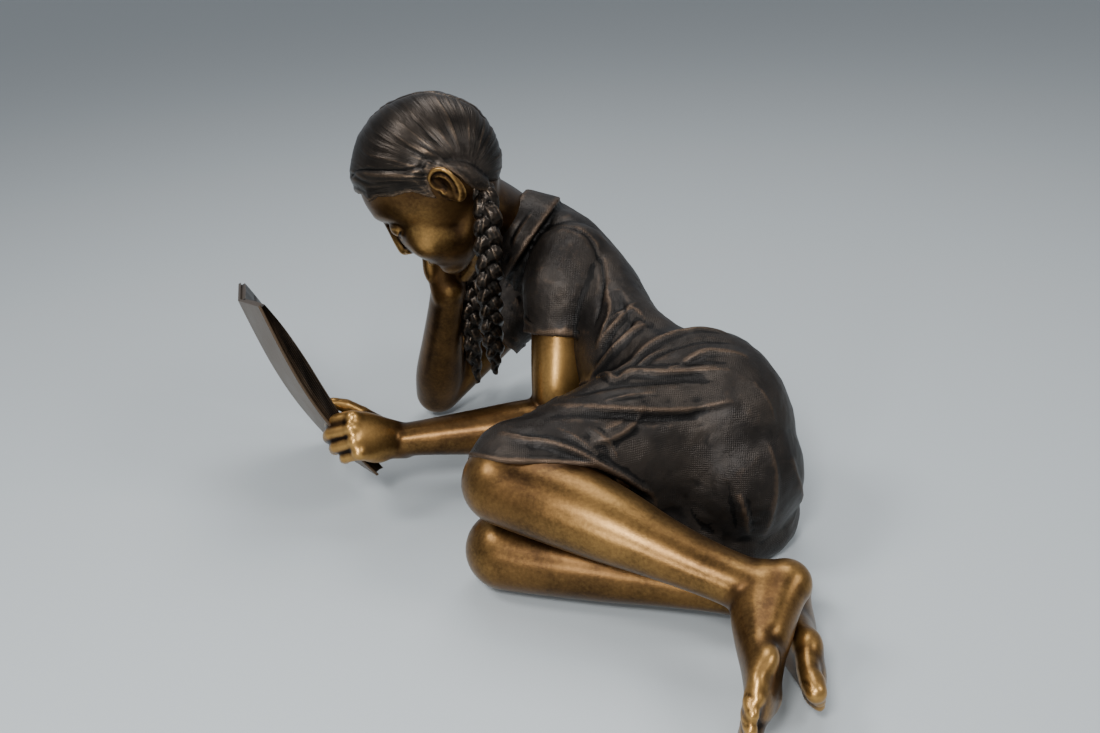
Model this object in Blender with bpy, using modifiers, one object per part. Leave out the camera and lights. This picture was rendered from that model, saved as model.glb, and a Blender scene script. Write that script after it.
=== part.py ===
"""Bronze figure of a girl who lies on her right side, props her head on one hand and reads an open book.

The figure is one casting. The book is a second piece, set into the grip of the left hand.
The pose is given by its joints and the forms by girths, in centimetres on a girl 130 tall, so that
both follow the stature. +X points along the figure from the book to the hips, -Y to the feet, +Z up.
"""

import math

import bmesh
import bpy
from mathutils import Matrix, Vector
from mathutils.bvhtree import BVHTree

# Driving sizes, in metres.
STATURE = 1.30  # standing height of the modelled girl
CM = STATURE / 130  # one centimetre on a girl of that height
PIECE_GAP = 0.0003  # clearance between the hand and the book
ORIGIN = Vector((-0.0666, -0.0520, 0.0))  # middle of the footprint, which becomes the origin

# Fineness of the faceted solids, in metres and triangles.
VOXEL = 0.0036
FINE_TRIANGLES, FIGURE_TRIANGLES = 228000, 9200

# Joints of the pose, floor at zero.
NECK = Vector((-0.5, 24.5, 28.5))
SKULL = Vector((-9.0, 15.5, 36.5))
HEAD = Vector((-13.6, 13.5, 41.2))
SHOULDER_L = Vector((2.8, 11.6, 30.0))
ELBOW_L = Vector((0.6, 4.2, 9.6))
WRIST_L = Vector((-20.2, 2.0, 9.6))
SHOULDER_R = Vector((-1.0, 33.0, 18.5))
ELBOW_R = Vector((-17.1, 26.2, 4.2))
WRIST_R = Vector((-13.2, 18.5, 22.5))
HIP_L = Vector((19.5, -5.0, 17.0))
KNEE_L = Vector((-5.8, -18.3, 14.8))
ANKLE_L = Vector((19.3, -33.0, 9.9))
HIP_R = Vector((18.5, -4.5, 7.5))
KNEE_R = Vector((-6.2, -16.8, 4.9))
ANKLE_R = Vector((21.6, -26.8, 4.2))
HEAD_FRONT, HEAD_UP = Vector((-0.72, 0.04, -0.69)), Vector((-0.69, 0.0, 0.72))
FOOT_L, INSTEP_L = Vector((-0.474, -0.821, -0.317)), Vector((-0.863, 0.506, -0.019))
FOOT_R, INSTEP_R = Vector((-0.16, -0.98, -0.07)), Vector((-0.98, 0.16, -0.12))
PALM_L, HAND_BACK_L = Vector((-0.64, -0.60, 0.47)), Vector((0.76, -0.455, 0.454))
PALM_R, HAND_BACK_R = Vector((0.0, -0.12, 1.0)), Vector((-0.25, 0.95, 0.1))

# Girths: rows of share of the length, half width, half depth, shift to the front.
THIGH = ((0.3, 6.8, 6.9, 0), (0.65, 5.7, 6.1, 0), (0.88, 4.8, 5.3, 0), (1.0, 4.6, 4.7, 0.2))
SHIN = (
    (0.0, 4.5, 4.6, 0.1),
    (0.1, 4.4, 4.9, -0.3),
    (0.28, 4.3, 4.9, -0.7),
    (0.45, 3.9, 4.4, -0.6),
    (0.65, 3.1, 3.5, -0.3),
    (0.85, 2.6, 3.0, -0.2),
    (1.0, 2.7, 3.0, -0.2),
)
UPPER_ARM = (
    (0.0, 4.2, 4.2, 0),
    (0.3, 3.9, 4.1, 0),
    (0.65, 3.6, 3.8, 0),
    (0.9, 3.4, 3.4, 0),
    (1.0, 3.3, 3.3, 0),
)
FOREARM = (
    (0.0, 3.3, 3.4, 0),
    (0.2, 3.5, 3.6, 0),
    (0.5, 3.0, 3.0, 0),
    (0.8, 2.5, 2.2, 0),
    (1.0, 2.4, 1.9, 0),
)

# Dress, hair and book.
SLEEVE_SHARE = 0.43  # how far the sleeve reaches down the upper arm
CUFF = 1.5
BRAID_SPREAD, BRAID_STRAND, BRAID_TURN = 0.78, 0.74, 5.4
BOOK_LOW = Vector((-22.9, -1.0, 6.2))
BOOK_UP, BOOK_OUT = Vector((-0.439, 0.042, 0.898)), Vector((0.832, 0.395, 0.389))
BOOK_TALL, BOOK_WIDE, BOOK_BOW = 26.4, 12.0, 1.6
BOARD, LEAVES = 0.35, 1.25
NEAR_TILT, FAR_TILT = -8, 6

METALS = {"girl": ((0.20, 0.12, 0.055), 0.42), "book": ((0.10, 0.07, 0.045), 0.45)}


def spline(rows, steps):
    """Points on a smooth curve through the rows of numbers, with that many steps between two rows."""
    result = []
    for i in range(len(rows) - 1):
        four = rows[max(i - 1, 0)], rows[i], rows[i + 1], rows[min(i + 2, len(rows) - 1)]
        for step in range(steps):
            t = step / steps
            result.append(
                tuple(
                    b + 0.5 * t * (c - a + t * (2 * a - 5 * b + 4 * c - d + t * (3 * b - a - 3 * c + d)))
                    for a, b, c, d in zip(*four)
                )
            )
    result.append(tuple(rows[-1]))
    return result


def loft(forms, rows, side=(0, 0, 1), sides=20, steps=4):
    """A closed limb through rows of (point, half width along side, half depth) with rounded ends."""
    rows = [(*p, w, d, *(own[0] if own else side)) for p, w, d, *own in rows]
    path = spline(rows, steps)

    def cap(row, near, turns):
        """Rows that round an end off."""
        away = (Vector(row[:3]) - Vector(near[:3])).normalized() * 0.5 * (row[3] + row[4])
        return [
            (*(Vector(row[:3]) + away * math.sin(t)), row[3] * math.cos(t), row[4] * math.cos(t), *row[5:])
            for t in turns
        ]

    turns = [math.radians(a) for a in (25, 50, 72)]
    path = cap(path[0], path[1], turns)[::-1] + path + cap(path[-1], path[-2], turns)
    centres = [Vector(row[:3]) for row in path]
    rings = []
    for i, row in enumerate(path):
        along = (centres[min(i + 1, len(path) - 1)] - centres[max(i - 1, 0)]).normalized()
        across = Vector(row[5:8])
        across = (across - across.dot(along) * along).normalized()
        other = along.cross(across)
        ring = []
        for k in range(sides):
            angle = 2 * math.pi * k / sides
            offset = across * row[3] * math.cos(angle) + other * row[4] * math.sin(angle)
            ring.append(forms.verts.new((centres[i] + offset) * CM))
        rings.append(ring)
    for lower, upper in zip(rings, rings[1:]):
        for k in range(sides):
            forms.faces.new((lower[k], lower[(k + 1) % sides], upper[(k + 1) % sides], upper[k]))
    forms.faces.new(reversed(rings[0]))
    forms.faces.new(rings[-1])


def ball(forms, centre, radii, front=(1, 0, 0), up=(0, 0, 1), segments=24):
    """An ellipsoid with half sizes along front, side and up."""
    up, front = Vector(up).normalized(), Vector(front)
    front = (front - front.dot(up) * up).normalized()
    turn = Matrix((front, up.cross(front), up)).transposed().to_4x4()
    size = Matrix.Diagonal((*[r * CM for r in radii], 1))
    place = Matrix.Translation(Vector(centre) * CM) @ turn @ size
    bmesh.ops.create_uvsphere(forms, u_segments=segments, v_segments=segments // 2, radius=1, matrix=place)


def local(origin, ahead, up, hand=1):
    """A function that places (ahead, side, up) steps from an origin, with its three directions."""
    ahead = ahead.normalized()
    up = (up - up.dot(ahead) * ahead).normalized()
    side = ahead.cross(up) * hand
    return (lambda a, s, u: origin + ahead * a + side * s + up * u), ahead, side, up


def limb(forms, start, end, hinge, profile):
    """A limb segment that follows one of the girth tables."""
    along = (end - start).normalized()
    hinge = (hinge - hinge.dot(along) * along).normalized()
    front = hinge.cross(along)
    rows = [(start.lerp(end, t) + front * shift, wide, deep) for t, wide, deep, shift in profile]
    loft(forms, rows, side=hinge)


def finger(forms, base, along, back, lengths, curls, radii):
    """A finger or toe from its knuckle, bent towards the palm by the curls in degrees."""
    side = along.cross(back).normalized()
    points = [base]
    for length, curl in zip(lengths, curls):
        along = Matrix.Rotation(math.radians(-curl), 3, side) @ along
        points.append(points[-1] + along * length)
    loft(forms, [(p, r, r * 0.94) for p, r in zip(points, radii)], side=side, sides=12, steps=3)


def hand(forms, wrist, along, back, which, fingers, thumb):
    """A hand, left 1 or right -1: palm, ball of the thumb, four fingers and the thumb."""
    at, along, side, back = local(wrist, along, back, which)
    palm = ((-0.5, 0.0, 2.3, 1.8), (2.5, 0.1, 2.8, 1.75), (5.0, 0.1, 3.25, 1.55), (6.9, 0.0, 3.2, 1.2))
    loft(forms, [(at(t, s, 0), w, d) for t, s, w, d in palm], side=side)
    ball(forms, at(3.0, 1.9, -0.8), (2.3, 1.4, 1.3), front=along, up=back)
    knuckles = ((7.2, 2.35), (7.5, 0.8), (7.1, -0.8), (6.5, -2.25))
    sizes = ((2.9, 1.9, 1.5), (3.2, 2.0, 1.6), (3.0, 1.9, 1.5), (2.4, 1.5, 1.3))
    girths = (0.85, 0.86, 0.82, 0.74)
    for (reach, offset), lengths, (spread, *curls), r in zip(knuckles, sizes, fingers, girths):
        ahead = (along + side * math.tan(math.radians(spread))).normalized()
        finger(forms, at(reach, offset, 0.1), ahead, back, lengths, curls, (r * 1.12, r, r * 0.92, r * 0.76))
    base, ahead, pad, curls = thumb
    ahead = (along * ahead[0] + side * ahead[1] + back * ahead[2]).normalized()
    pad = along * pad[0] + side * pad[1] + back * pad[2]
    pad = (pad - pad.dot(ahead) * ahead).normalized()
    finger(forms, at(*base), ahead, pad, (2.9, 2.3, 1.8), curls, (1.2, 1.0, 0.95, 0.78))


def foot(forms, ankle, along, up, which):
    """A foot, left 1 or right -1: heel, ankle bones, arch, ball and five toes."""
    at, along, side, up = local(ankle, along, up, which)
    ball(forms, at(-1.7, -0.1, -2.7), (2.5, 2.3, 2.6), front=along, up=up)
    tendon = ((-1.2, 4.0, 1.6, 1.5), (-1.7, 0.8, 1.8, 1.7), (-1.7, -2.2, 2.2, 2.2))
    loft(forms, [(at(t, 0, u), w, d) for t, u, w, d in tendon], side=side)
    sole = ((-1.6, -2.7, 2.2, 2.4), (1.5, -2.9, 2.3, 2.1), (5.0, -3.5, 2.6, 1.7))
    loft(forms, [(at(t, -0.2, u), w, d) for t, u, w, d in sole], side=side)
    ball(forms, at(-0.2, -2.2, -0.5), (1.2, 0.9, 1.3), front=along, up=up)
    ball(forms, at(0.4, 2.2, 0.0), (1.3, 0.9, 1.3), front=along, up=up)
    rows = (
        (-0.8, 0, -0.8, 2.6, 2.9),
        (2.2, 0, -1.3, 2.6, 2.9),
        (5.3, 0.1, -2.4, 2.9, 2.5),
        (8.3, 0.1, -3.5, 3.4, 1.9),
        (10.6, 0, -4.2, 3.6, 1.4),
    )
    loft(forms, [(at(t, s, u), w, d) for t, s, u, w, d in rows], side=side)
    ball(forms, at(9.6, 2.2, -4.0), (2.0, 1.6, 1.5), front=along, up=up)
    ball(forms, at(8.6, -2.5, -4.4), (2.0, 1.2, 1.1), front=along, up=up)
    toes = (
        (10.8, 2.5, 5.0, 1.1, 3),
        (11.5, 0.85, 4.0, 0.74, 2),
        (11.2, -0.6, 3.7, 0.72, 0),
        (10.6, -1.9, 3.3, 0.7, -3),
        (9.6, -3.0, 3.0, 0.72, -8),
    )
    for reach, offset, length, r, spread in toes:
        ahead = (along + side * math.tan(math.radians(-spread))).normalized()
        curls = (-6, 28, 12) if offset < 2 else (0, 6, 2)
        parts = (length * 0.45, length * 0.3, length * 0.25)
        finger(forms, at(reach, offset, -4.1), ahead, up, parts, curls, (r * 1.05, r * 0.9, r, r * 0.9))


def legs(forms):
    """Both bare legs from under the skirt, with their feet."""
    for hip, knee, ankle in ((HIP_L, KNEE_L, ANKLE_L), (HIP_R, KNEE_R, ANKLE_R)):
        hinge = (knee - hip).cross(ankle - knee).normalized()
        if hinge.cross(knee - hip).dot(knee - ankle) < 0:
            hinge = -hinge
        limb(forms, hip, knee, hinge, THIGH)
        limb(forms, knee, ankle, hinge, SHIN)
        cap = ((knee - hip).normalized() + (knee - ankle).normalized()).normalized()
        ball(forms, knee + cap * 1.6, (2.8, 3.1, 3.6), front=cap, up=hinge.cross(cap))
    foot(forms, ANKLE_L, FOOT_L, INSTEP_L, 1)
    foot(forms, ANKLE_R, FOOT_R, INSTEP_R, -1)


def arms(forms):
    """Both arms with their hands: the left grips the book, the right is a loose fist under the chin."""
    for shoulder, elbow, wrist in ((SHOULDER_L, ELBOW_L, WRIST_L), (SHOULDER_R, ELBOW_R, WRIST_R)):
        hinge = (elbow - shoulder).cross(wrist - elbow).normalized()
        limb(forms, shoulder, elbow, hinge, UPPER_ARM)
        limb(forms, elbow, wrist, hinge, FOREARM)
        point = ((elbow - shoulder).normalized() + (elbow - wrist).normalized()).normalized()
        ball(forms, elbow + point * 0.9, (2.7, 2.5, 2.5), front=point)
    grip = ((3, 72, 44, 14), (0, 75, 44, 14), (-3, 78, 44, 14), (-8, 82, 44, 14))
    thumb = ((1.8, 2.1, -1.0), (0.88, 0.36, -0.27), (-0.6, 0.55, 0.5), (-8, 6, 12))
    hand(forms, WRIST_L, PALM_L, HAND_BACK_L, 1, grip, thumb)
    fist = ((3, 40, 75, 50), (0, 45, 80, 50), (-2, 50, 85, 50), (-5, 55, 85, 50))
    thumb = ((2.2, 2.2, -1.2), (0.75, 0.35, -0.55), (0.3, 0.8, -0.2), (0, 15, 15))
    hand(forms, WRIST_R, PALM_R, HAND_BACK_R, -1, fist, thumb)


def head(forms):
    """Neck, hair mass, face and ears."""
    at, front, side, up = local(HEAD, HEAD_FRONT, HEAD_UP, -1)

    def place(f, s, u, radii):
        ball(forms, at(f, s, u), radii, front=front, up=up)

    place(0.0, 0, 1.0, (10.0, 7.7, 9.2))
    loft(forms, [(NECK, 4.6, 4.6), (NECK.lerp(SKULL, 0.5), 4.2, 4.3), (SKULL, 4.4, 4.8)])
    place(4.0, 0, -3.9, (5.0, 5.5, 7.0))
    place(6.7, 0, -9.6, (1.8, 2.1, 1.6))
    jaw = ((-0.5, -7.0, 4.9, 2.4), (3.5, -8.6, 3.9, 2.2), (6.0, -9.6, 2.3, 1.7))
    loft(forms, [(at(f, 0, u), w, d) for f, u, w, d in jaw], side=side)
    nose = ((8.3, -0.6, 0.7, 0.8), (9.0, -2.6, 0.8, 0.9), (9.5, -3.9, 1.0, 1.0))
    loft(forms, [(at(f, 0, u), w, d) for f, u, w, d in nose], side=side, sides=12)
    place(8.6, 0, -6.6, (0.9, 1.9, 0.55))
    place(8.5, 0, -7.5, (0.85, 1.6, 0.6))
    for s in (-1, 1):
        place(5.9, s * 3.3, -4.4, (2.4, 2.4, 2.7))
        place(7.0, s * 3.0, -1.0, (1.6, 1.7, 1.2))
        place(8.9, s * 1.0, -4.3, (0.8, 0.6, 0.6))
        place(-0.6, s * 7.2, -1.6, (1.7, 0.7, 2.9))


def plait(forms, rows):
    """A three-strand plait along rows of (x, y, z, size), ending in a tapered tuft."""
    path = spline(rows, 14)
    centres = [Vector(row[:3]) for row in path]
    run = [0.0]
    for a, b in zip(centres, centres[1:]):
        run.append(run[-1] + (b - a).length)
    woven = run[-1] * 0.84
    for strand in range(3):
        line = []
        for i, row in enumerate(path):
            along = (centres[min(i + 1, len(path) - 1)] - centres[max(i - 1, 0)]).normalized()
            across = (Vector((1, 0, 0.2)) - along * along.dot(Vector((1, 0, 0.2)))).normalized()
            out = along.cross(across)
            turn = 2 * math.pi * (run[i] / BRAID_TURN + strand / 3)
            open_end = max(0.0, (run[i] - woven) / (run[-1] - woven))
            size = row[3] * (1 - 0.65 * open_end)
            centre = centres[i] + across * BRAID_SPREAD * size * math.sin(turn)
            centre += out * BRAID_SPREAD * 0.5 * size * math.sin(2 * turn)
            line.append((centre, BRAID_STRAND * size, BRAID_STRAND * size * 0.9))
        loft(forms, line, side=(1, 0, 0.2), sides=10, steps=1)


def braids(forms):
    """The left plait in front of the shoulder and the right one under the jaw."""
    plait(
        forms,
        (
            (-7.2, 9.0, 40.5, 0.9),
            (-6.7, 7.4, 37.5, 1.1),
            (-6.9, 7.2, 33.0, 1.1),
            (-7.2, 8.0, 27.0, 1.0),
            (-7.3, 9.8, 20.0, 0.9),
            (-7.4, 11.5, 13.8, 0.6),
        ),
    )
    plait(
        forms,
        (
            (-6.5, 20.5, 33.5, 1.0),
            (-8.5, 20.8, 29.0, 1.1),
            (-10.0, 20.0, 23.5, 1.0),
            (-10.8, 19.8, 17.0, 0.9),
            (-10.6, 20.8, 8.0, 0.6),
        ),
    )


def dress(forms):
    """The clothed body: chest, waist, hips, skirt over both thighs, sleeves, cuffs and collar."""
    rows = [
        (Vector((1.2, 24.8, 24.8)), 9.0, 5.0, (0.16, -0.86, 0.48)),
        (Vector((3.2, 20.8, 23.6)), 11.6, 6.8, (0.16, -0.86, 0.48)),
        (Vector((6.4, 13.7, 20.8)), 10.8, 7.0, (0.15, -0.75, 0.6)),
        (Vector((9.4, 5.4, 18.2)), 9.6, 6.3, (0.1, -0.5, 0.85)),
        (Vector((13.0, -1.0, 15.0)), 11.3, 8.6, (0.05, -0.2, 1)),
        (Vector((18.3, -6.0, 13.2)), 12.8, 9.8, (0.0, 0.0, 1)),
        (Vector((20.2, -9.5, 10.0)), 10.6, 8.8, (0.0, 0.0, 1)),
    ]
    loft(forms, rows, sides=32)
    ball(forms, (21.0, -9.0, 4.0), (8.6, 8.4, 6.8))
    rows = [
        (Vector((16.0, -7.5, 13.0)), 12.3, 8.8),
        (Vector((8.0, -11.0, 13.2)), 10.4, 8.0),
        (Vector((0.5, -14.5, 13.8)), 8.4, 6.9),
        (Vector((-4.2, -16.4, 14.9)), 6.2, 5.9),
    ]
    loft(forms, rows, sides=32)
    loft(forms, [(Vector((12, -14, 6)), 5.0, 5.0), (Vector((20.5, -14.5, 3.5)), 4.0, 4.0)])
    shoulders = ((SHOULDER_L, ELBOW_L, (0.8, 1.5, -1.5)), (SHOULDER_R, ELBOW_R, (0, 0, 0)))
    for shoulder, elbow, shift in shoulders:
        along = elbow - shoulder
        end = shoulder + along * SLEEVE_SHARE
        sleeve = [(shoulder + Vector(shift), 5.2, 5.6), (shoulder + along * 0.2, 5.3, 5.6), (end, 4.7, 4.9)]
        loft(forms, sleeve, side=(0, 1, 0))
        way = along.normalized()
        loft(forms, [(end - way * CUFF, 5.0, 5.2), (end, 5.0, 5.2)], side=(0, 1, 0))
    ring = []
    at, ahead, side, up = local(NECK.lerp(SKULL, 0.12), Vector((1, 0.2, 0.2)), SKULL - NECK)
    for k in range(13):
        angle = 2 * math.pi * k / 12
        point = at(5.2 * math.cos(angle), 5.6 * math.sin(angle), -0.8 + 0.9 * math.cos(angle))
        ring.append((point, 1.5, 0.8))
    loft(forms, ring, side=up, sides=12)


def book_frame():
    """Directions of the book: up its height, across its width, out of its pages."""
    up = BOOK_UP.normalized()
    out = (BOOK_OUT - BOOK_OUT.dot(up) * up).normalized()
    return up, up.cross(out), out


def book(forms, grow=0.0):
    """The open book as one bowed sweep: two boards, the leaves on them and the hollow at the spine."""
    up, across, out = book_frame()
    slopes = [math.radians(tilt) for tilt in (NEAR_TILT, FAR_TILT)]
    near_way, far_way = (across * math.cos(t) + out * math.sin(t) for t in slopes)
    near_face, far_face = (out * math.cos(t) - across * math.sin(t) for t in slopes)
    rings, stations = [], 14
    for k in range(stations + 1):
        share = k / stations
        bow = -BOOK_BOW * math.sin(math.pi * share) * (1 - 0.25 * share)
        rise = BOOK_TALL * share + (grow if share == 1 else -grow if share == 0 else 0)
        deep = LEAVES * (1 - 0.65 * share**3)
        top = BOARD + deep + grow
        half = (
            (-grow, -grow),
            (-grow, BOARD + grow),
            (0.2 - grow, BOARD + grow),
            (0.25 - grow, top),
            (BOOK_WIDE * 0.35, top + 0.1),
            (BOOK_WIDE * 0.75, top + 0.05),
        )
        base = BOOK_LOW + up * rise + out * bow
        hinge = base + near_way * BOOK_WIDE
        points = [base + near_way * w + near_face * o for w, o in half]
        points.append(hinge + out * (BOARD + deep * 0.35 + grow))
        points += [hinge + far_way * (BOOK_WIDE - w) + far_face * o for w, o in reversed(half)]
        points.append(hinge - out * grow)
        rings.append([forms.verts.new(p * CM) for p in points])
    sides = len(rings[0])
    for low, high in zip(rings, rings[1:]):
        for k in range(sides):
            forms.faces.new((low[k], low[(k + 1) % sides], high[(k + 1) % sides], high[k]))
    forms.faces.new(reversed(rings[0]))
    forms.faces.new(rings[-1])
    bmesh.ops.recalc_face_normals(forms, faces=forms.faces)


def fold(forms, skin, points, girth):
    """A ridge of cloth that follows the surface under a line of points and fades at both ends."""
    path = spline(points, 5)
    rows = []
    for i, point in enumerate(path):
        share = i / (len(path) - 1)
        size = girth * (0.35 + 0.65 * math.sin(math.pi * share) ** 0.7)
        near, normal, _, _ = skin.find_nearest(Vector(point) * CM)
        rows.append((near / CM - normal * size * 0.35, size, size, normal))
    loft(forms, rows, sides=10, steps=1)


def drapery(forms):
    """Folds: pulled from the groin over the hip, across the back of the waist, on the lap and at the arm."""
    forms.faces.ensure_lookup_table()
    skin = BVHTree.FromBMesh(forms)
    groin = Vector((6.5, -7.0, 25.5))
    for k in range(6):
        angle = math.radians(58 - 24 * k)
        far = Vector((17.0 + 13.0 * math.cos(angle), -15.0, 13.0 + 13.0 * math.sin(angle)))
        near = groin.lerp(far, 0.12)
        fold(forms, skin, [tuple(near), tuple(near.lerp(far, 0.5) + Vector((0, -5, 2))), tuple(far)], 1.0)
    for k in range(3):
        low = Vector((9.0 + 1.5 * k, 1.0 + 2.0 * k, 28.0))
        high = Vector((1.5 - 1.5 * k, -1.5 + 4.0 * k, 14.0 + 1.5 * k))
        middle = low.lerp(high, 0.5) + Vector((-2, -4, 1))
        fold(forms, skin, [tuple(low), tuple(middle), tuple(high)], 0.8)
    for k in range(3):
        start = Vector((-4.0 + 4.5 * k, -15.0 + 1.6 * k, 25.0))
        steps = [tuple(start + Vector(step)) for step in ((0, 0, 0), (2, -6, -3), (5, -9, -9))]
        fold(forms, skin, steps, 0.8)
    hem = [
        (-11.0, -14.0, 17.5),
        (-7.5, -19.5, 19.0),
        (-1.0, -22.0, 18.0),
        (5.0, -20.5, 15.5),
        (9.5, -17.5, 10.0),
        (16.5, -19.0, 5.0),
        (24.0, -16.0, 1.0),
    ]
    fold(forms, skin, hem, 0.75)


def new_object(name, forms, collection):
    """A smooth mesh object from the collected forms, moved to the row's origin."""
    mesh = bpy.data.meshes.new(name)
    forms.to_mesh(mesh)
    forms.free()
    mesh.transform(Matrix.Translation(-ORIGIN))
    mesh.polygons.foreach_set("use_smooth", [True] * len(mesh.polygons))
    item = bpy.data.objects.new(name, mesh)
    collection.objects.link(item)
    return item


def cut(item, cutter):
    """Take a hidden cutter out of an item."""
    cutter.hide_render = True
    cutter.display_type = "WIRE"
    modifier = item.modifiers.new(cutter.name, "BOOLEAN")
    modifier.operation, modifier.solver, modifier.object = "DIFFERENCE", "EXACT", cutter


def settle(item):
    """Turn the modifiers into a mesh and drop the splinters that the cutters leave."""
    graph = bpy.context.evaluated_depsgraph_get()
    mesh = bpy.data.meshes.new_from_object(item.evaluated_get(graph))
    item.modifiers.clear()
    item.data = mesh
    forms = bmesh.new()
    forms.from_mesh(mesh)
    bmesh.ops.remove_doubles(forms, verts=forms.verts, dist=0.00008)
    bmesh.ops.dissolve_degenerate(forms, edges=forms.edges, dist=0.00005)
    waiting, islands = set(forms.verts), []
    while waiting:
        island, edge = set(), [waiting.pop()]
        while edge:
            vert = edge.pop()
            island.add(vert)
            linked = {link.other_vert(vert) for link in vert.link_edges} & waiting
            waiting -= linked
            edge += linked
        islands.append(island)
    islands.sort(key=len)
    bmesh.ops.delete(forms, geom=[vert for island in islands[:-1] for vert in island], context="VERTS")
    forms.to_mesh(mesh)
    forms.free()


def metal(item, colour, roughness):
    """Give an item its own bronze."""
    material = bpy.data.materials.new(item.name)
    material.use_nodes = True
    shader = material.node_tree.nodes["Principled BSDF"]
    shader.inputs["Base Color"].default_value = (*colour, 1)
    shader.inputs["Metallic"].default_value = 1.0
    shader.inputs["Roughness"].default_value = roughness
    item.data.materials.append(material)


def main():
    for item in list(bpy.data.objects):
        bpy.data.objects.remove(item, do_unlink=True)
    figure, cutters = (bpy.data.collections.new(name) for name in ("reading_girl", "cutters"))
    for collection in (figure, cutters):
        bpy.context.scene.collection.children.link(collection)

    forms = bmesh.new()
    dress(forms)
    drapery(forms)
    for build in (legs, arms, head, braids):
        build(forms)
    girl = new_object("girl", forms, figure)
    remesh = girl.modifiers.new("skin", "REMESH")
    remesh.mode, remesh.voxel_size, remesh.use_smooth_shade = "VOXEL", VOXEL, True
    smooth = girl.modifiers.new("soften", "SMOOTH")
    smooth.factor, smooth.iterations = 0.5, 3
    facets = girl.modifiers.new("facets", "DECIMATE")
    facets.ratio = FIGURE_TRIANGLES / FINE_TRIANGLES

    forms = bmesh.new()
    below = Matrix.Translation((0, 0, -0.1)) @ Matrix.Diagonal((2, 2, 0.2, 1))
    bmesh.ops.create_cube(forms, size=1, matrix=below)
    cut(girl, new_object("floor_cutter", forms, cutters))
    forms = bmesh.new()
    book(forms, PIECE_GAP / CM)
    cut(girl, new_object("book_cutter", forms, cutters))

    forms = bmesh.new()
    book(forms)
    book_item = new_object("book", forms, figure)
    settle(girl)
    for item in (girl, book_item):
        metal(item, *METALS[item.name])


if __name__ == "__main__":
    main()
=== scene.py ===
import math

import bmesh
import bpy
import numpy as np
from mathutils import Matrix, Vector
from mathutils.bvhtree import BVHTree


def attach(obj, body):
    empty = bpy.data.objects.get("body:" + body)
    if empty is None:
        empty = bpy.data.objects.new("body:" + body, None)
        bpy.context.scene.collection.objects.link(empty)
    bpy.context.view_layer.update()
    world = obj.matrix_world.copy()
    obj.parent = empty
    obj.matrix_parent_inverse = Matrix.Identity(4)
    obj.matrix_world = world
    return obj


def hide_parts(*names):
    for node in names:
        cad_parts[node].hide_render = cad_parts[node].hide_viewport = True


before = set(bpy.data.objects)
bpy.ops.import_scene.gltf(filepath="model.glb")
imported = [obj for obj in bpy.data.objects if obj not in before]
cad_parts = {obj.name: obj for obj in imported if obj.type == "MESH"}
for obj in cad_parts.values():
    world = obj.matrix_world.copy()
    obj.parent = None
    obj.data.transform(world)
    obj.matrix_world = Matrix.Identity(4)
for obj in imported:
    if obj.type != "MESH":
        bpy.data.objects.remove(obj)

bl_info = {
    "name": "Reading Girl in Bronze",
    "version": (1, 0, 0),
    "blender": (4, 5, 0),
    "location": "View3D > Sidebar > Statue",
    "description": "Cast bronze figure of a girl who lies on her side and reads an open book",
    "category": "Object",
}

# The pose, in centimetres on the floor that the figure lies on: +X along the figure from the book to
# the hips, -Y to the feet, +Z up. FLOOR_SHIFT takes it to the middle of the footprint.
FLOOR_SHIFT = Vector((0.0666, 0.0520, 0.0))
NECK = Vector((-0.5, 24.5, 28.5))
SKULL = Vector((-9.0, 15.5, 36.5))
HEAD = Vector((-13.6, 13.5, 41.2))
SHOULDER_L = Vector((2.8, 11.6, 30.0))
ELBOW_L = Vector((0.6, 4.2, 9.6))
WRIST_L = Vector((-20.2, 2.0, 9.6))
SHOULDER_R = Vector((-1.0, 33.0, 18.5))
ELBOW_R = Vector((-17.1, 26.2, 4.2))
WRIST_R = Vector((-13.4, 18.0, 24.2))
HIP_L = Vector((19.5, -5.0, 17.0))
KNEE_L = Vector((-5.8, -18.3, 14.8))
ANKLE_L = Vector((19.3, -33.0, 9.9))
HIP_R = Vector((18.5, -4.5, 7.5))
KNEE_R = Vector((-6.2, -16.8, 4.9))
ANKLE_R = Vector((21.6, -26.8, 4.2))
HEAD_FRONT, HEAD_UP = Vector((-0.72, 0.04, -0.69)), Vector((-0.69, 0.0, 0.72))
FOOT_L, INSTEP_L = Vector((-0.474, -0.821, -0.317)), Vector((-0.863, 0.506, -0.019))
FOOT_R, INSTEP_R = Vector((-0.16, -0.98, -0.07)), Vector((-0.98, 0.16, -0.12))
PALM_L, HAND_BACK_L = Vector((-0.64, -0.60, 0.47)), Vector((0.76, -0.455, 0.454))
PALM_R, HAND_BACK_R = Vector((0.0, -0.12, 1.0)), Vector((-0.25, 0.95, 0.1))
BOOK_LOW = Vector((-22.9, -1.0, 6.2))
BOOK_UP, BOOK_OUT = Vector((-0.439, 0.042, 0.898)), Vector((0.832, 0.395, 0.389))
BOOK_TALL, BOOK_WIDE, BOOK_BOW = 26.4, 12.0, 1.6
BOARD, LEAVES = 0.35, 1.25
NEAR_TILT, FAR_TILT = -8, 6

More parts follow.
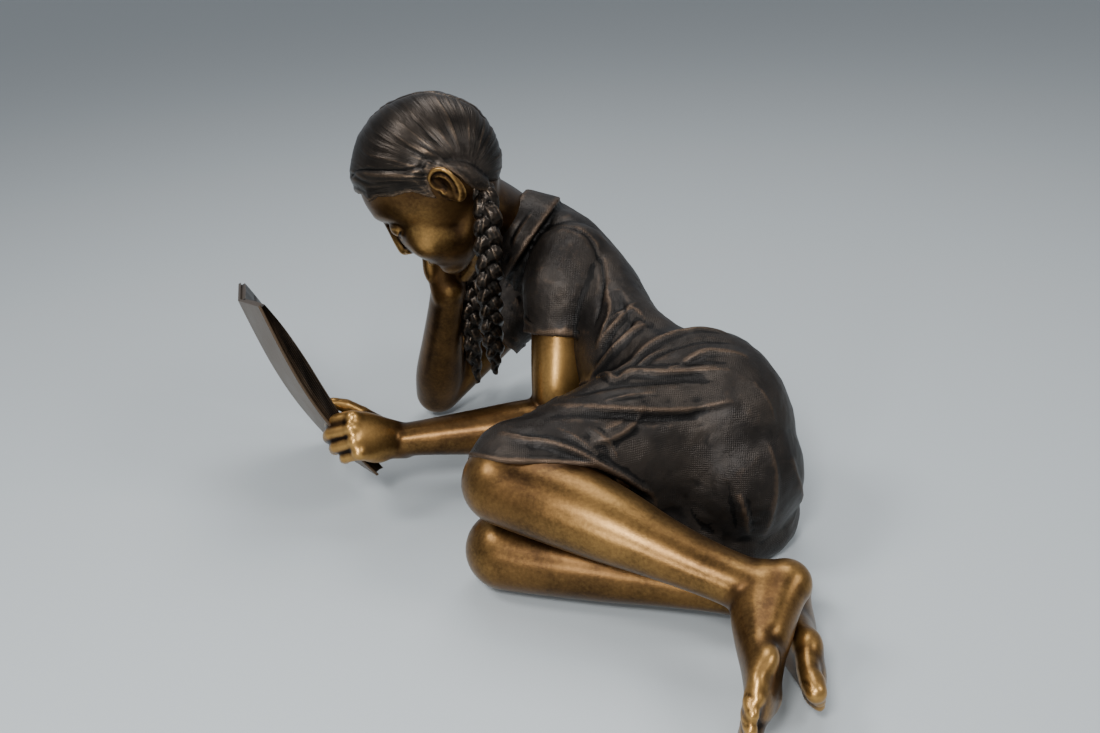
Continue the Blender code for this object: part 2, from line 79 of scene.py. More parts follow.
# Rows of share of the length, half width, half depth, shift to the front.
THIGH = (
    (0.3, 6.8, 6.9, 0),
    (0.65, 5.7, 6.1, 0),
    (0.88, 4.8, 5.3, 0),
    (1.0, 4.6, 4.7, 0.2),
)
SHIN = (
    (0.0, 4.5, 4.6, 0.1),
    (0.1, 4.4, 4.9, -0.3),
    (0.28, 4.3, 4.9, -0.7),
    (0.45, 3.9, 4.4, -0.6),
    (0.65, 3.1, 3.5, -0.3),
    (0.85, 2.6, 3.0, -0.2),
    (1.0, 2.7, 3.0, -0.2),
)
UPPER_ARM = (
    (0.0, 4.2, 4.2, 0),
    (0.3, 3.9, 4.1, 0),
    (0.65, 3.6, 3.8, 0),
    (0.9, 3.4, 3.4, 0),
    (1.0, 3.3, 3.3, 0),
)
FOREARM = (
    (0.0, 3.3, 3.4, 0),
    (0.2, 3.5, 3.6, 0),
    (0.5, 3.0, 3.0, 0),
    (0.8, 2.6, 2.4, 0),
    (1.0, 2.5, 2.1, 0),
)
SLEEVE_SHARE, CUFF = 0.455, 2.2  # the sleeve's share of the upper arm, the height of its cuff
NECK_FOOT = Vector((0.4, 22.4, 26.6))  # where the neck ends inside the dress
COLLAR_WAY = Vector((-0.79, 0.22, 0.57))
EAR = (-2.3, -1.3)  # front and up of the ear's middle in the head

# Hairline on the side of the head by front and up: forehead, temple, lock before the ear, nape.
HAIRLINE = (
    (12.0, 6.6),
    (8.2, 5.9),
    (7.0, 5.1),
    (6.8, 3.9),
    (5.4, 3.7),
    (3.6, 2.5),
    (2.1, 1.8),
    (1.2, 1.1),
    (0.5, -0.6),
    (-0.3, -1.9),
    (-0.9, -0.4),
    (-1.7, 0.9),
    (-2.9, 1.2),
    (-3.9, 0.3),
    (-4.1, -1.5),
    (-3.9, -4.0),
    (-5.0, -7.0),
    (-9.0, -8.0),
    (-9.0, -16.0),
    (12.0, -16.0),
)
PLAIT_ROOT = (-4.6, 6.2, -2.6)
HAIR_COARSER = 1.15  # the hair's voxel to the face's
# Waves of the combed hair: height, length, seed, number round the root, how soon they rise from it.
STRANDS = ((0.10, 7, 21, 40, 1), (0.075, 6, 22, 96, 1), (0.055, 5, 23, 190, 2))

# The view of the photograph: image size, focal length in pixels, pitch and roll in degrees.
IMAGE, FOCAL, PITCH, ROLL = (1100, 733), 1079.0, 25.8, 2.98
EYE = Vector((0.0, -120.0, 78.0))


def view_axes():
    """Right, down and forward of the photograph's camera."""
    pitch, roll = math.radians(PITCH), math.radians(ROLL)
    forward = Vector((0, math.cos(pitch), -math.sin(pitch)))
    below, aside = Vector((0, -math.sin(pitch), -math.cos(pitch))), Vector((1, 0, 0))
    right = aside * math.cos(roll) + below * math.sin(roll)
    down = below * math.cos(roll) - aside * math.sin(roll)
    return right, down, forward


def pixels(points):
    """Pixels of the photograph's view at which points in centimetres show."""
    right, down, forward = (np.array(way) for way in view_axes())
    away = points - np.array(EYE)
    depth = away @ forward
    return (
        IMAGE[0] / 2 + FOCAL * (away @ right) / depth,
        IMAGE[1] / 2 + FOCAL * (away @ down) / depth,
    )


# Curves and closed forms.


def spline(rows, steps):
    """Points on a smooth curve through the rows of numbers, with that many steps between two rows."""
    result = []
    for i in range(len(rows) - 1):
        four = rows[max(i - 1, 0)], rows[i], rows[i + 1], rows[min(i + 2, len(rows) - 1)]
        for step in range(steps):
            t = step / steps
            result.append(
                tuple(
                    b + 0.5 * t * (c - a + t * (2 * a - 5 * b + 4 * c - d + t * (3 * b - a - 3 * c + d)))
                    for a, b, c, d in zip(*four)
                )
            )
    result.append(tuple(rows[-1]))
    return result


def loft(forms, rows, side=(0, 0, 1), sides=32, steps=6, ends=(1, 1), flutes=()):
    """A closed limb through rows of (point, half width along side, half depth) with rounded ends.

    Ends below 1 are flatter. Flutes are waves round its girth: (count, share of the girth, turn).
    """
    rows = [(*p, w, d, *(own[0] if own else side)) for p, w, d, *own in rows]
    path = spline(rows, steps)

    def cap(row, near, turns, bulge):
        """Rows that round an end off."""
        away = (Vector(row[:3]) - Vector(near[:3])).normalized() * 0.5 * (row[3] + row[4]) * bulge
        return [
            (*(Vector(row[:3]) + away * math.sin(t)), row[3] * math.cos(t), row[4] * math.cos(t), *row[5:])
            for t in turns
        ]

    turns = [math.radians(a) for a in (15, 30, 45, 60, 74, 84)]
    path = cap(path[0], path[1], turns, ends[0])[::-1] + path + cap(path[-1], path[-2], turns, ends[1])
    centres = [Vector(row[:3]) for row in path]
    rings = []
    for i, row in enumerate(path):
        along = (centres[min(i + 1, len(path) - 1)] - centres[max(i - 1, 0)]).normalized()
        across = Vector(row[5:8])
        across = (across - across.dot(along) * along).normalized()
        other = along.cross(across)
        ring = []
        for k in range(sides):
            angle = 2 * math.pi * k / sides
            offset = across * row[3] * math.cos(angle) + other * row[4] * math.sin(angle)
            offset *= 1 + sum(share * math.cos(waves * angle + turn) for waves, share, turn in flutes)
            ring.append(forms.verts.new((centres[i] + offset) * 0.01))
        rings.append(ring)
    for lower, upper in zip(rings, rings[1:]):
        for k in range(sides):
            forms.faces.new((lower[k], lower[(k + 1) % sides], upper[(k + 1) % sides], upper[k]))
    forms.faces.new(reversed(rings[0]))
    forms.faces.new(rings[-1])


def ball(forms, centre, radii, front=(1, 0, 0), up=(0, 0, 1), segments=48):
    """An ellipsoid with half sizes along front, side and up."""
    up, front = Vector(up).normalized(), Vector(front)
    front = (front - front.dot(up) * up).normalized()
    turn = Matrix((front, up.cross(front), up)).transposed().to_4x4()
    size = Matrix.Diagonal((*[r * 0.01 for r in radii], 1))
    place = Matrix.Translation(Vector(centre) * 0.01) @ turn @ size
    part, mesh = bmesh.new(), bpy.data.meshes.new("ball")
    bmesh.ops.create_uvsphere(part, u_segments=segments, v_segments=segments // 2, radius=1, matrix=place)
    part.to_mesh(mesh)
    part.free()
    forms.from_mesh(mesh)
    bpy.data.meshes.remove(mesh)


def local(origin, ahead, up, hand=1):
    """A function that places (ahead, side, up) steps from an origin, with its three directions."""
    ahead = ahead.normalized()
    up = (up - up.dot(ahead) * ahead).normalized()
    side = ahead.cross(up) * hand
    return (lambda a, s, u: origin + ahead * a + side * s + up * u), ahead, side, up


def limb(forms, start, end, hinge, profile):
    """A limb segment that follows one of the girth tables."""
    along = (end - start).normalized()
    hinge = (hinge - hinge.dot(along) * along).normalized()
    front = hinge.cross(along)
    rows = [(start.lerp(end, t) + front * shift, wide, deep) for t, wide, deep, shift in profile]
    loft(forms, rows, side=hinge)


def finger(forms, base, along, back, lengths, curls, radii, joint=1.05):
    """A finger or toe from its knuckle, bent towards the palm by the curls in degrees; gives its tip."""
    side = along.cross(back).normalized()
    points = [base]
    for length, curl in zip(lengths, curls):
        turn = Matrix.Rotation(math.radians(-curl), 3, side)
        along, back = turn @ along, turn @ back
        points.append(points[-1] + along * length)
    for point, r in zip(points[1:-1], radii[1:-1]):
        ball(forms, point, (r * joint, r * joint, r * joint * 0.97), front=along, up=back, segments=20)
    loft(forms, [(p, r, r * 0.94) for p, r in zip(points, radii)], side=side, sides=20, steps=5)
    return points[-1], along, back, radii[-1]


# Skins and their relief.


def cover(name, forms, voxel, rounds):
    """One closed skin over all the forms, softened, standing on the floor."""
    for vert in forms.verts:
        vert.co.z = max(vert.co.z, 0.0)
    mesh = bpy.data.meshes.new(name)
    forms.to_mesh(mesh)
    forms.free()
    item = bpy.data.objects.new(name, mesh)
    bpy.context.scene.collection.objects.link(item)
    remesh = item.modifiers.new("skin", "REMESH")
    remesh.mode, remesh.voxel_size, remesh.use_smooth_shade = "VOXEL", voxel, True
    smooth = item.modifiers.new("soften", "SMOOTH")
    smooth.factor, smooth.iterations = 0.5, rounds
    graph = bpy.context.evaluated_depsgraph_get()
    item.data = bpy.data.meshes.new_from_object(item.evaluated_get(graph))
    item.modifiers.clear()
    bpy.data.meshes.remove(mesh)
    item.data.name = name
    return item


def melt(forms, voxel, rounds, shape=None):
    """The forms run together into one soft body, as new forms for the finer ones to join."""
    item = cover("soft", forms, voxel, rounds)
    mesh = item.data
    if shape:
        shape(Skin(item))
    forms = bmesh.new()
    forms.from_mesh(mesh)
    bpy.data.objects.remove(item)
    bpy.data.meshes.remove(mesh)
    return forms


class Skin:
    """The points of a piece in centimetres, which the relief moves along their normals."""

    def __init__(self, item):
        self.item, self.mesh, self.rims = item, item.data, []
        count = len(self.mesh.vertices)
        flat = np.empty(count * 3, dtype=np.float32)
        self.mesh.vertices.foreach_get("co", flat)
        self.points = flat.reshape(-1, 3).astype(np.float64) * 100
        ends = np.empty(len(self.mesh.edges) * 2, dtype=np.int32)
        self.mesh.edges.foreach_get("vertices", ends)
        self.ends = ends.reshape(-1, 2)
        self.valence = np.bincount(ends, minlength=count).astype(float)[:, None]
        self.renew()

    def renew(self):
        """Write the points back and read the normals again."""
        self.mesh.vertices.foreach_set("co", (self.points * 0.01).astype(np.float32).ravel())
        self.mesh.update()
        flat = np.empty(len(self.points) * 3, dtype=np.float32)
        self.mesh.vertex_normals.foreach_get("vector", flat)
        self.normals = flat.reshape(-1, 3).astype(np.float64)

    def push(self, amount):
        """Move every point along its normal."""
        self.points += self.normals * amount[:, None]
        self.renew()

    def pull(self, amount, way):
        """Move every point the same way by its own amount."""
        self.points += amount[:, None] * np.array(way)
        self.renew()

    def mean(self, values, rounds):
        """Values averaged with their neighbours over that many rounds."""
        one, two = self.ends.T
        count = len(self.points)
        for _ in range(rounds):
            total = np.stack(
                [
                    np.bincount(one, column[two], count) + np.bincount(two, column[one], count)
                    for column in values.T
                ],
                axis=1,
            )
            values = 0.5 * values + 0.5 * total / self.valence
        return values

    def store(self, name, values):
        """Keep a value for every point as an attribute that the patina reads."""
        layer = self.mesh.attributes.new(name, "FLOAT", "POINT")
        layer.data.foreach_set("value", values.astype(np.float32))

    def soften(self, mask, rounds):
        """Smooth the points where the mask is over zero."""
        smooth = self.mean(self.points, rounds)
        self.points += (smooth - self.points) * mask[:, None]
        self.renew()

    def along(self, rows, reach):
        """For the points near a curve: their numbers, distance, share of its length and side."""
        path = np.array(spline(rows, max(3, int(60 / len(rows)))))[:, :3]
        low, high = path.min(0) - reach, path.max(0) + reach
        inside = np.nonzero(((self.points > low) & (self.points < high)).all(1))[0]
        tangent = np.gradient(path, axis=0)
        pace = np.linalg.norm(tangent, axis=1)
        tangent /= pace[:, None]
        parts = []
        for chunk in np.array_split(inside, max(1, len(inside) // 20000)):
            away = self.points[chunk][:, None, :] - path[None]
            squares = np.einsum("nmk,nmk->nm", away, away)
            near = squares.argmin(1)
            picked = away[np.arange(len(chunk)), near]
            ahead = np.einsum("nk,nk->n", picked, tangent[near])
            ahead = np.clip(ahead, -pace[near], pace[near])
            picked = picked - ahead[:, None] * tangent[near]
            side = np.einsum("nk,nk->n", np.cross(tangent[near], self.normals[chunk]), picked)
            share = (near + ahead / pace[near]) / (len(path) - 1)
            parts.append((chunk, np.linalg.norm(picked, axis=1), np.clip(share, 0, 1), side))
        found = [np.concatenate(column) for column in zip(*parts)]
        close = found[1] < reach
        return found[0][close].astype(int), *(column[close] for column in found[1:])

    def ridge(self, amount, rows, height, width, fade=0.6, lean=0.0, sharp=1.6):
        """Add a ridge (or with a height below zero a groove) along a curve that fades at both ends."""
        index, far, share, side = self.along(rows, width * 3.2)
        ends = np.sin(np.pi * np.clip(share, 0.001, 0.999)) ** fade
        wide = width * (1 + lean * np.sign(side))
        amount[index] += height * ends * np.exp(-((far / wide) ** sharp))

    def dent(self, amount, centre, radii, height, front=(1, 0, 0), up=(0, 0, 1)):
        """Add a soft bump (or with a height below zero a dent) of ellipsoid shape."""
        up, front = np.array(Vector(up).normalized()), Vector(front)
        front = np.array((front - front.dot(Vector(up)) * Vector(up)).normalized())
        away = self.points - np.array(centre)
        steps = np.stack([away @ front, away @ np.cross(up, front), away @ up], axis=1) / np.array(radii)
        amount += height * np.exp(-(steps**2).sum(1))

    def nail(self, tip, along, back, size):
        """A nail plate behind a finger tip, with its fold round it."""
        side = along.cross(back).normalized()
        centre = tip + along * size * 0.1 + back * size * 0.8
        away = self.points - np.array(centre)
        ahead, across, rise = (away @ np.array(way) for way in (along, side, back))
        reach = (np.abs(ahead / (size * 0.95)) ** 3 + np.abs(across / (size * 0.78)) ** 3) ** (1 / 3)
        facing = np.clip(self.normals @ np.array(back) * 2, 0, 1) * (np.abs(rise) < size * 1.2)
        plate = np.clip((1.0 - reach) / 0.12, 0, 1)
        fold = np.exp(-(((reach - 1.06) / 0.12) ** 2))
        amount = facing * (reach < 1.6) * (0.025 * plate - 0.03 * fold)
        self.push(amount)

    def stand(self):
        """Keep the points on or over the floor, and store ridges and hollows for the patina and for the
        painted shade in the hollows.
        """
        self.points[:, 2] = np.maximum(self.points[:, 2], 0.0)
        fine = self.mean(self.points, 3)
        broad = self.mean(fine, 15)
        self.renew()
        for name, smooth, scale in (("ridge", fine, 0.03), ("form", broad, 0.09)):
            height = ((self.points - smooth) * self.normals).sum(1) / scale
            self.store(name, 0.5 + 0.5 * np.tanh(height))

    def polish_and_highlight(self, spots):
        """Store bright spots as (centre, radius, share): metal rubbed bright by hands, and painted
        highlights.
        """
        amount = np.zeros(len(self.points))
        for centre, radius, share in spots:
            far = ((self.points - np.array(centre)) ** 2).sum(1)
            amount = np.maximum(amount, share * np.exp(-far / radius**2))
        self.store("polish_and_highlight", amount)

    def finish(self, material, slot="girl", spots=()):
        """Give the piece its place, its patina with painted shade and highlights, and its part in the model.
        """
        self.stand()
        self.polish_and_highlight([*spots, *self.rims])
        self.mesh.transform(Matrix.Translation(FLOOR_SHIFT))
        self.mesh.materials.clear()
        self.mesh.materials.append(material)
        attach(self.item, "root")
        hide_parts(slot)


def waves(points, size, seed, count=24):
    """Soft irregular noise from -1 to 1 over points in space, with lumps of about that size."""
    random = np.random.default_rng(seed)
    ways = random.normal(size=(count, 3)) * (2.2 / size)
    turns = random.uniform(0, 2 * np.pi, count)
    return np.clip(np.sin(points @ ways.T + turns).sum(1) * (0.9 / math.sqrt(count)), -1, 1)


def strands(across, along, seed, count):
    """Noise from -1 to 1 drawn out along the hair: count strands round the whole turn."""
    random = np.random.default_rng(seed)
    table = random.uniform(-1, 1, (count, 64))
    one, two = np.mod(across / (2 * np.pi) * count, count), np.mod(along, 63)
    i, j = np.floor(one).astype(int), np.floor(two).astype(int)
    a, b = one - i, two - j
    a, b = a * a * (3 - 2 * a), b * b * (3 - 2 * b)
    i, k = i % count, (i + 1) % count
    return (table[i, j] * (1 - a) + table[k, j] * a) * (1 - b) + (
        table[i, j + 1] * (1 - a) + table[k, j + 1] * a
    ) * b


def outline_distance(places, corners):
    """Distance of flat places from a closed outline, below zero inside it."""
    corners = np.array(corners)
    best, inside = np.full(len(places), 1e9), np.zeros(len(places), dtype=bool)
    for a, b in zip(corners, np.roll(corners, -1, axis=0)):
        run = b - a
        share = np.clip(((places - a) @ run) / (run @ run), 0, 1)
        best = np.minimum(best, np.linalg.norm(places - a - share[:, None] * run, axis=1))
        crosses = (a[1] > places[:, 1]) != (b[1] > places[:, 1])
        slope = np.where(run[1] == 0, 1e-9, run[1])
        inside ^= crosses & (places[:, 0] < a[0] + (places[:, 1] - a[1]) / slope * run[0])
    return np.where(inside, -best, best)


class Sight:
    """Finds the place on a piece that shows at a pixel of the photograph's view."""

    def __init__(self, skin):
        faces = np.empty(len(skin.mesh.loops), dtype=np.int32)
        skin.mesh.loops.foreach_get("vertex_index", faces)
        starts = [(p.loop_start, p.loop_total) for p in skin.mesh.polygons]
        polygons = [faces[start : start + total].tolist() for start, total in starts]
        self.tree = BVHTree.FromPolygons(skin.points.tolist(), polygons)

    def __call__(self, *pixels):
        """Places on the piece behind pixels (x, y); a pixel that misses takes the nearest place."""
        right, down, forward = view_axes()
        found = []
        for x, y in pixels:
            ray = forward + right * ((x - IMAGE[0] / 2) / FOCAL) + down * ((y - IMAGE[1] / 2) / FOCAL)
            place = self.tree.ray_cast(EYE, ray.normalized(), 400)[0]
            if place is None:
                place = self.tree.find_nearest(EYE + ray.normalized() * 125)[0]
            found.append(tuple(place))
        return found


# Pieces of the body.


def hand(forms, wrist, along, back, which, fingers, thumb):
    """Adds a hand, left 1 or right -1: palm, ball of the thumb, four fingers and the thumb.

    Gives the new forms and the finger tips.
    """
    at, along, side, back = local(wrist, along, back, which)
    palm = ((-1.2, 0.0, 2.4, 2.0), (2.5, 0.1, 2.8, 1.85), (5.0, 0.1, 3.25, 1.55), (6.9, 0.0, 3.2, 1.2))
    loft(forms, [(at(t, s, 0), w, d) for t, s, w, d in palm], side=side, ends=(1, 0.35))
    knuckles = ((7.2, 2.35), (7.5, 0.8), (7.1, -0.8), (6.5, -2.25))
    lumps = [((3.0, 1.9, -0.8), (2.3, 1.4, 1.3), 48), ((3.6, -2.1, -0.4), (2.6, 1.1, 1.2), 48)]
    lumps += [((*knuckle, 0.15), (1.2, 0.95, 1.0), 20) for knuckle in knuckles]
    for place, radii, segments in lumps:
        ball(forms, at(*place), radii, front=along, up=back, segments=segments)
    forms = melt(forms, 0.0024, 12)
    sizes = ((2.9, 1.9, 1.5), (3.2, 2.0, 1.6), (3.0, 1.9, 1.5), (2.4, 1.5, 1.3))
    girths = (0.85, 0.86, 0.82, 0.74)
    tips = []
    for (reach, offset), lengths, (spread, *curls), r in zip(knuckles, sizes, fingers, girths):
        ahead = (along + side * math.tan(math.radians(spread))).normalized()
        radii = (r * 1.12, r, r * 0.92, r * 0.76)
        tips.append(finger(forms, at(reach, offset, 0.1), ahead, back, lengths, curls, radii))
    base, ahead, pad, curls = thumb
    ahead = (along * ahead[0] + side * ahead[1] + back * ahead[2]).normalized()
    pad = along * pad[0] + side * pad[1] + back * pad[2]
    pad = (pad - pad.dot(ahead) * ahead).normalized()
    tips.append(finger(forms, at(*base), ahead, pad, (2.9, 2.3, 1.8), curls, (1.2, 1.0, 0.95, 0.78)))
    return melt(forms, 0.0017, 8), tips


def foot(forms, ankle, along, up, which):
    """Adds a foot, left 1 or right -1: heel, ankle bones, arch, ball and five toes.

    Gives the new forms and the toe tips.
    """
    at, along, side, up = local(ankle, along, up, which)

    def lump(ahead, offset, rise, radii):
        ball(forms, at(ahead, offset, rise), radii, front=along, up=up)

    lump(-1.7, -0.1, -2.7, (2.7, 2.4, 2.7))
    tendon = ((-1.2, 5.0, 1.6, 1.5), (-1.8, 0.8, 1.7, 1.6), (-1.8, -2.2, 2.3, 2.3))
    loft(forms, [(at(t, 0, u), w, d) for t, u, w, d in tendon], side=side)
    sole = ((-1.6, -2.7, 2.2, 2.5), (1.5, -2.9, 2.3, 2.2), (5.0, -3.5, 2.6, 1.8))
    loft(forms, [(at(t, -0.2, u), w, d) for t, u, w, d in sole], side=side)
    lump(-0.2, -1.5, -0.5, (1.6, 1.3, 1.6))
    lump(0.4, 1.7, 0.0, (1.5, 1.3, 1.6))
    rows = (
        (-0.8, 0, -0.8, 2.7, 3.0),
        (2.2, 0, -1.3, 2.7, 3.0),
        (5.3, 0.1, -2.4, 3.0, 2.6),
        (8.3, 0.1, -3.5, 3.5, 2.0),
        (10.8, 0, -4.2, 3.6, 1.5),
    )
    loft(forms, [(at(t, s, u), w, d) for t, s, u, w, d in rows], side=side)
    lump(9.8, 2.2, -4.1, (2.3, 1.7, 1.7))
    for ahead, offset in ((9.9, 0.8), (9.6, -0.65), (9.1, -1.95)):
        loft(forms, [(at(2.5, offset * 0.5, 0.3), 0.5, 0.5), (at(ahead, offset, -3.2), 0.75, 0.75)])
    lump(8.8, -2.5, -4.4, (2.0, 1.3, 1.2))
    forms = melt(forms, 0.003, 20)
    toes = (
        (9.6, 2.25, 6.0, 1.3, 3),
        (10.5, 0.8, 5.1, 0.8, 2),
        (10.2, -0.6, 4.8, 0.78, 0),
        (9.6, -1.8, 4.4, 0.76, -3),
        (8.4, -2.55, 4.3, 0.82, -8),
    )
    tips = []
    for reach, offset, length, r, spread in toes:
        ahead = (along + side * math.tan(math.radians(-spread))).normalized()
        curls = (-4, 24, 14) if offset < 2 else (0, 10, 2)
        parts = (length * 0.56, length * 0.24, length * 0.2)
        radii = (r * 1.05, r * 0.95, r * 1.02, r * 0.9)
        tips.append(finger(forms, at(reach, offset, -4.0), ahead, up, parts, curls, radii, 1.0))
    return melt(forms, 0.002, 8), tips


def leg(name, hip, knee, ankle, toward, instep, which, voxel):
    """A bare leg from under the skirt to the toes."""
    forms = bmesh.new()
    hinge = (knee - hip).cross(ankle - knee).normalized()
    if hinge.cross(knee - hip).dot(knee - ankle) < 0:
        hinge = -hinge
    limb(forms, hip.lerp(knee, 0.25), knee, hinge, THIGH)
    limb(forms, knee, ankle, hinge, SHIN)
    cap = ((knee - hip).normalized() + (knee - ankle).normalized()).normalized()
    ball(forms, knee + cap * 1.6, (2.8, 3.1, 3.6), front=cap, up=hinge.cross(cap))
    forms, tips = foot(forms, ankle, toward, instep, which)
    skin = Skin(cover(name, forms, voxel, 4))
    for tip in tips:
        skin.nail(*tip)
    return skin


def arm(name, shoulder, elbow, wrist, voxel, palm, back, which, fingers, thumb):
    """A bare arm from inside the sleeve to the finger tips."""
    forms = bmesh.new()
    hinge = (elbow - shoulder).cross(wrist - elbow).normalized()
    limb(forms, shoulder.lerp(elbow, 0.15), elbow, hinge, UPPER_ARM)
    limb(forms, elbow, wrist, hinge, FOREARM)
    point = ((elbow - shoulder).normalized() + (elbow - wrist).normalized()).normalized()
    ball(forms, elbow + point * 0.9, (2.7, 2.5, 2.5), front=point)
    forms, tips = hand(forms, wrist, palm, back, which, fingers, thumb)
    skin = Skin(cover(name, forms, voxel, 4))
    for tip in tips:
        skin.nail(*tip)
    return skin


def head_frame():
    """Places in the head by (front, left, up) from its middle, with the directions."""
    return local(HEAD, HEAD_FRONT, HEAD_UP, -1)


def ear(forms, at, which):
    """The shell of an ear: rim, inner fold, lobe and tragus."""

    def place(f, u, out):
        return at(EAR[0] + f * 0.86, which * (6.95 + out - 0.34 * f), EAR[1] + u * 0.86)

    def bead(rows, out):
        loft(forms, [(place(f, u, out), r, r) for f, u, r in rows], sides=16, steps=6)

    def lump(f, u, out, radii):
        ball(forms, place(f, u, out), radii, front=place(1, 0, 0) - place(0, 0, 0), up=HEAD_UP)

    lump(-0.3, 0.1, 0.15, (1.8, 0.42, 2.75))
    lump(0.2, 0.0, -0.3, (1.3, 0.8, 2.0))
    rim = ((0.9, 0.0, 0.22), (1.35, 1.2, 0.27), (0.95, 2.4, 0.3), (-0.4, 2.9, 0.3), (-1.6, 2.3, 0.31))
    bead((*rim, (-2.0, 1.0, 0.28), (-1.5, -0.8, 0.26), (-0.7, -2.0, 0.3), (0.2, -2.5, 0.3)), 0.45)
    bead(((-0.1, 2.1, 0.2), (-0.8, 1.6, 0.24), (-1.1, 0.5, 0.24), (-0.7, -0.6, 0.24), (0.0, -1.1, 0.2)), 0.42)
    lump(-0.1, -2.1, 0.25, (0.75, 0.4, 0.8))
    lump(1.0, -0.3, 0.35, (0.32, 0.35, 0.5))


def face(voxel):
    """Neck, face and ears: a calm child's face of plain proportions, with lowered lids."""
    at, front, side, up = head_frame()
    forms = bmesh.new()

    def place(f, s, u, radii):
        ball(forms, at(f, s, u), radii, front=front, up=up)

    def sockets(skin):
        """The hollows of the eyes."""
        amount = np.zeros(len(skin.points))
        for s in (-1, 1):
            skin.dent(amount, at(8.2, s * 2.9, -0.7), (2.2, 2.0, 1.35), -0.9, front, up)
            skin.dent(amount, at(8.9, s * 1.3, -0.6), (1.5, 0.8, 1.0), -0.3, front, up)
        skin.push(amount)

    place(-0.3, 0, 0.8, (9.5, 7.2, 8.7))
    loft(forms, [(NECK_FOOT, 3.9, 3.9), (NECK.lerp(SKULL, 0.5), 4.3, 4.4), (SKULL, 4.6, 5.0)])
    place(4.3, 0, -3.9, (5.1, 5.8, 7.2))
    place(6.8, 0, -9.4, (2.1, 2.5, 1.9))
    jaw = ((-1.5, -5.6, 5.0, 3.2), (3.0, -8.0, 4.6, 2.8), (6.2, -9.3, 2.8, 2.2))
    loft(forms, [(at(f, 0, u), w, d) for f, u, w, d in jaw], side=side)
    for s in (-1, 1):
        place(5.4, s * 2.8, -4.7, (3.1, 3.1, 3.1))
    forms = melt(forms, 0.0026, 40, sockets)
    nose = ((8.3, 0.6, 1.1, 0.7), (8.85, -1.2, 0.85, 0.95), (9.5, -2.8, 0.9, 1.0), (9.9, -3.9, 1.02, 1.0))
    loft(forms, [(at(f, 0, u), w, d) for f, u, w, d in nose], side=side, sides=32)
    place(7.2, 0, -7.0, (1.65, 3.0, 1.9))
    place(8.1, 0, -5.5, (1.1, 2.0, 1.5))
    for s in (-1, 1):
        place(9.0, s * 1.0, -4.35, (1.1, 0.68, 0.66))
        place(6.75, s * 2.95, -1.0, (1.55, 1.8, 1.35))
    forms = melt(forms, 0.0017, 9)
    upper_lip = ((7.75, 2.4, -7.0, 0.14), (8.45, 1.25, -6.75, 0.34), (8.75, 0.4, -6.6, 0.42))
    upper_lip += ((8.78, 0.0, -6.68, 0.4),)
    lower_lip = ((7.75, 2.2, -7.15, 0.14), (8.4, 1.15, -7.48, 0.4), (8.65, 0.0, -7.6, 0.47))
    for lip in (upper_lip, lower_lip):
        whole = lip + tuple((f, -s, u, r) for f, s, u, r in lip[-2::-1])
        loft(forms, [(at(f, s, u), r, r) for f, s, u, r in whole], sides=20)
    for s in (-1, 1):
        ear(forms, at, s)
    skin = Skin(cover("face", forms, voxel, 5))
    amount = np.zeros(len(skin.points))

    def line(rows, height, width, lift=0.0, fade=0.6):
        skin.ridge(amount, [at(f, a, u + lift) for f, a, u in rows], height, width, fade)

    def hollow(f, a, u, radii, height):
        skin.dent(amount, at(f, a, u), radii, height, front, up)

    for s in (-1, 1):
        hollow(EAR[0] + 0.25, s * 7.2, EAR[1] + 0.3, (0.6, 1.0, 1.1), -0.4)
        crease = [(7.6, s * 1.4, -0.5), (8.2, s * 2.3, 0.3), (8.0, s * 3.5, 0.35), (6.8, s * 4.8, -0.7)]
        lash = [(7.9, s * 1.4, -1.5), (8.35, s * 2.2, -1.95), (8.2, s * 3.5, -1.95), (6.9, s * 4.8, -1.35)]
        line(crease, -0.10, 0.17)
        line(lash, -0.24, 0.14, fade=0.3)
        line(lash, 0.11, 0.15, lift=0.24)
        line(lash, 0.09, 0.2, lift=-0.32)
        line(lash, -0.05, 0.22, lift=-0.75)
        brow = [(8.8, s * 1.2, 1.3), (8.7, s * 2.6, 2.0), (8.0, s * 4.1, 1.9), (6.6, s * 5.4, 1.0)]
        line(brow, 0.13, 0.42)
        hollow(9.3, s * 0.55, -4.95, (0.45, 0.3, 0.3), -0.3)
        line([(9.6, s * 0.9, -3.6), (9.2, s * 1.35, -4.0), (8.8, s * 1.55, -4.5)], -0.1, 0.16)
        hollow(8.0, s * 2.4, -7.1, (0.5, 0.35, 0.4), -0.14)
        line([(8.7, s * 1.6, -4.7), (8.3, s * 2.1, -5.6), (8.0, s * 2.4, -6.6)], -0.05, 0.3)
    mouth = [(7.7, -2.5, -7.0), (8.5, -1.2, -7.1), (8.9, 0, -7.18), (8.5, 1.2, -7.1), (7.7, 2.5, -7.0)]
    line(mouth, -0.2, 0.13, fade=0.35)
    hollow(9.2, 0, -5.6, (0.6, 0.3, 0.6), -0.12)
    hollow(8.6, 0, -8.45, (0.6, 1.3, 0.4), -0.14)
    skin.push(amount)
    return skin


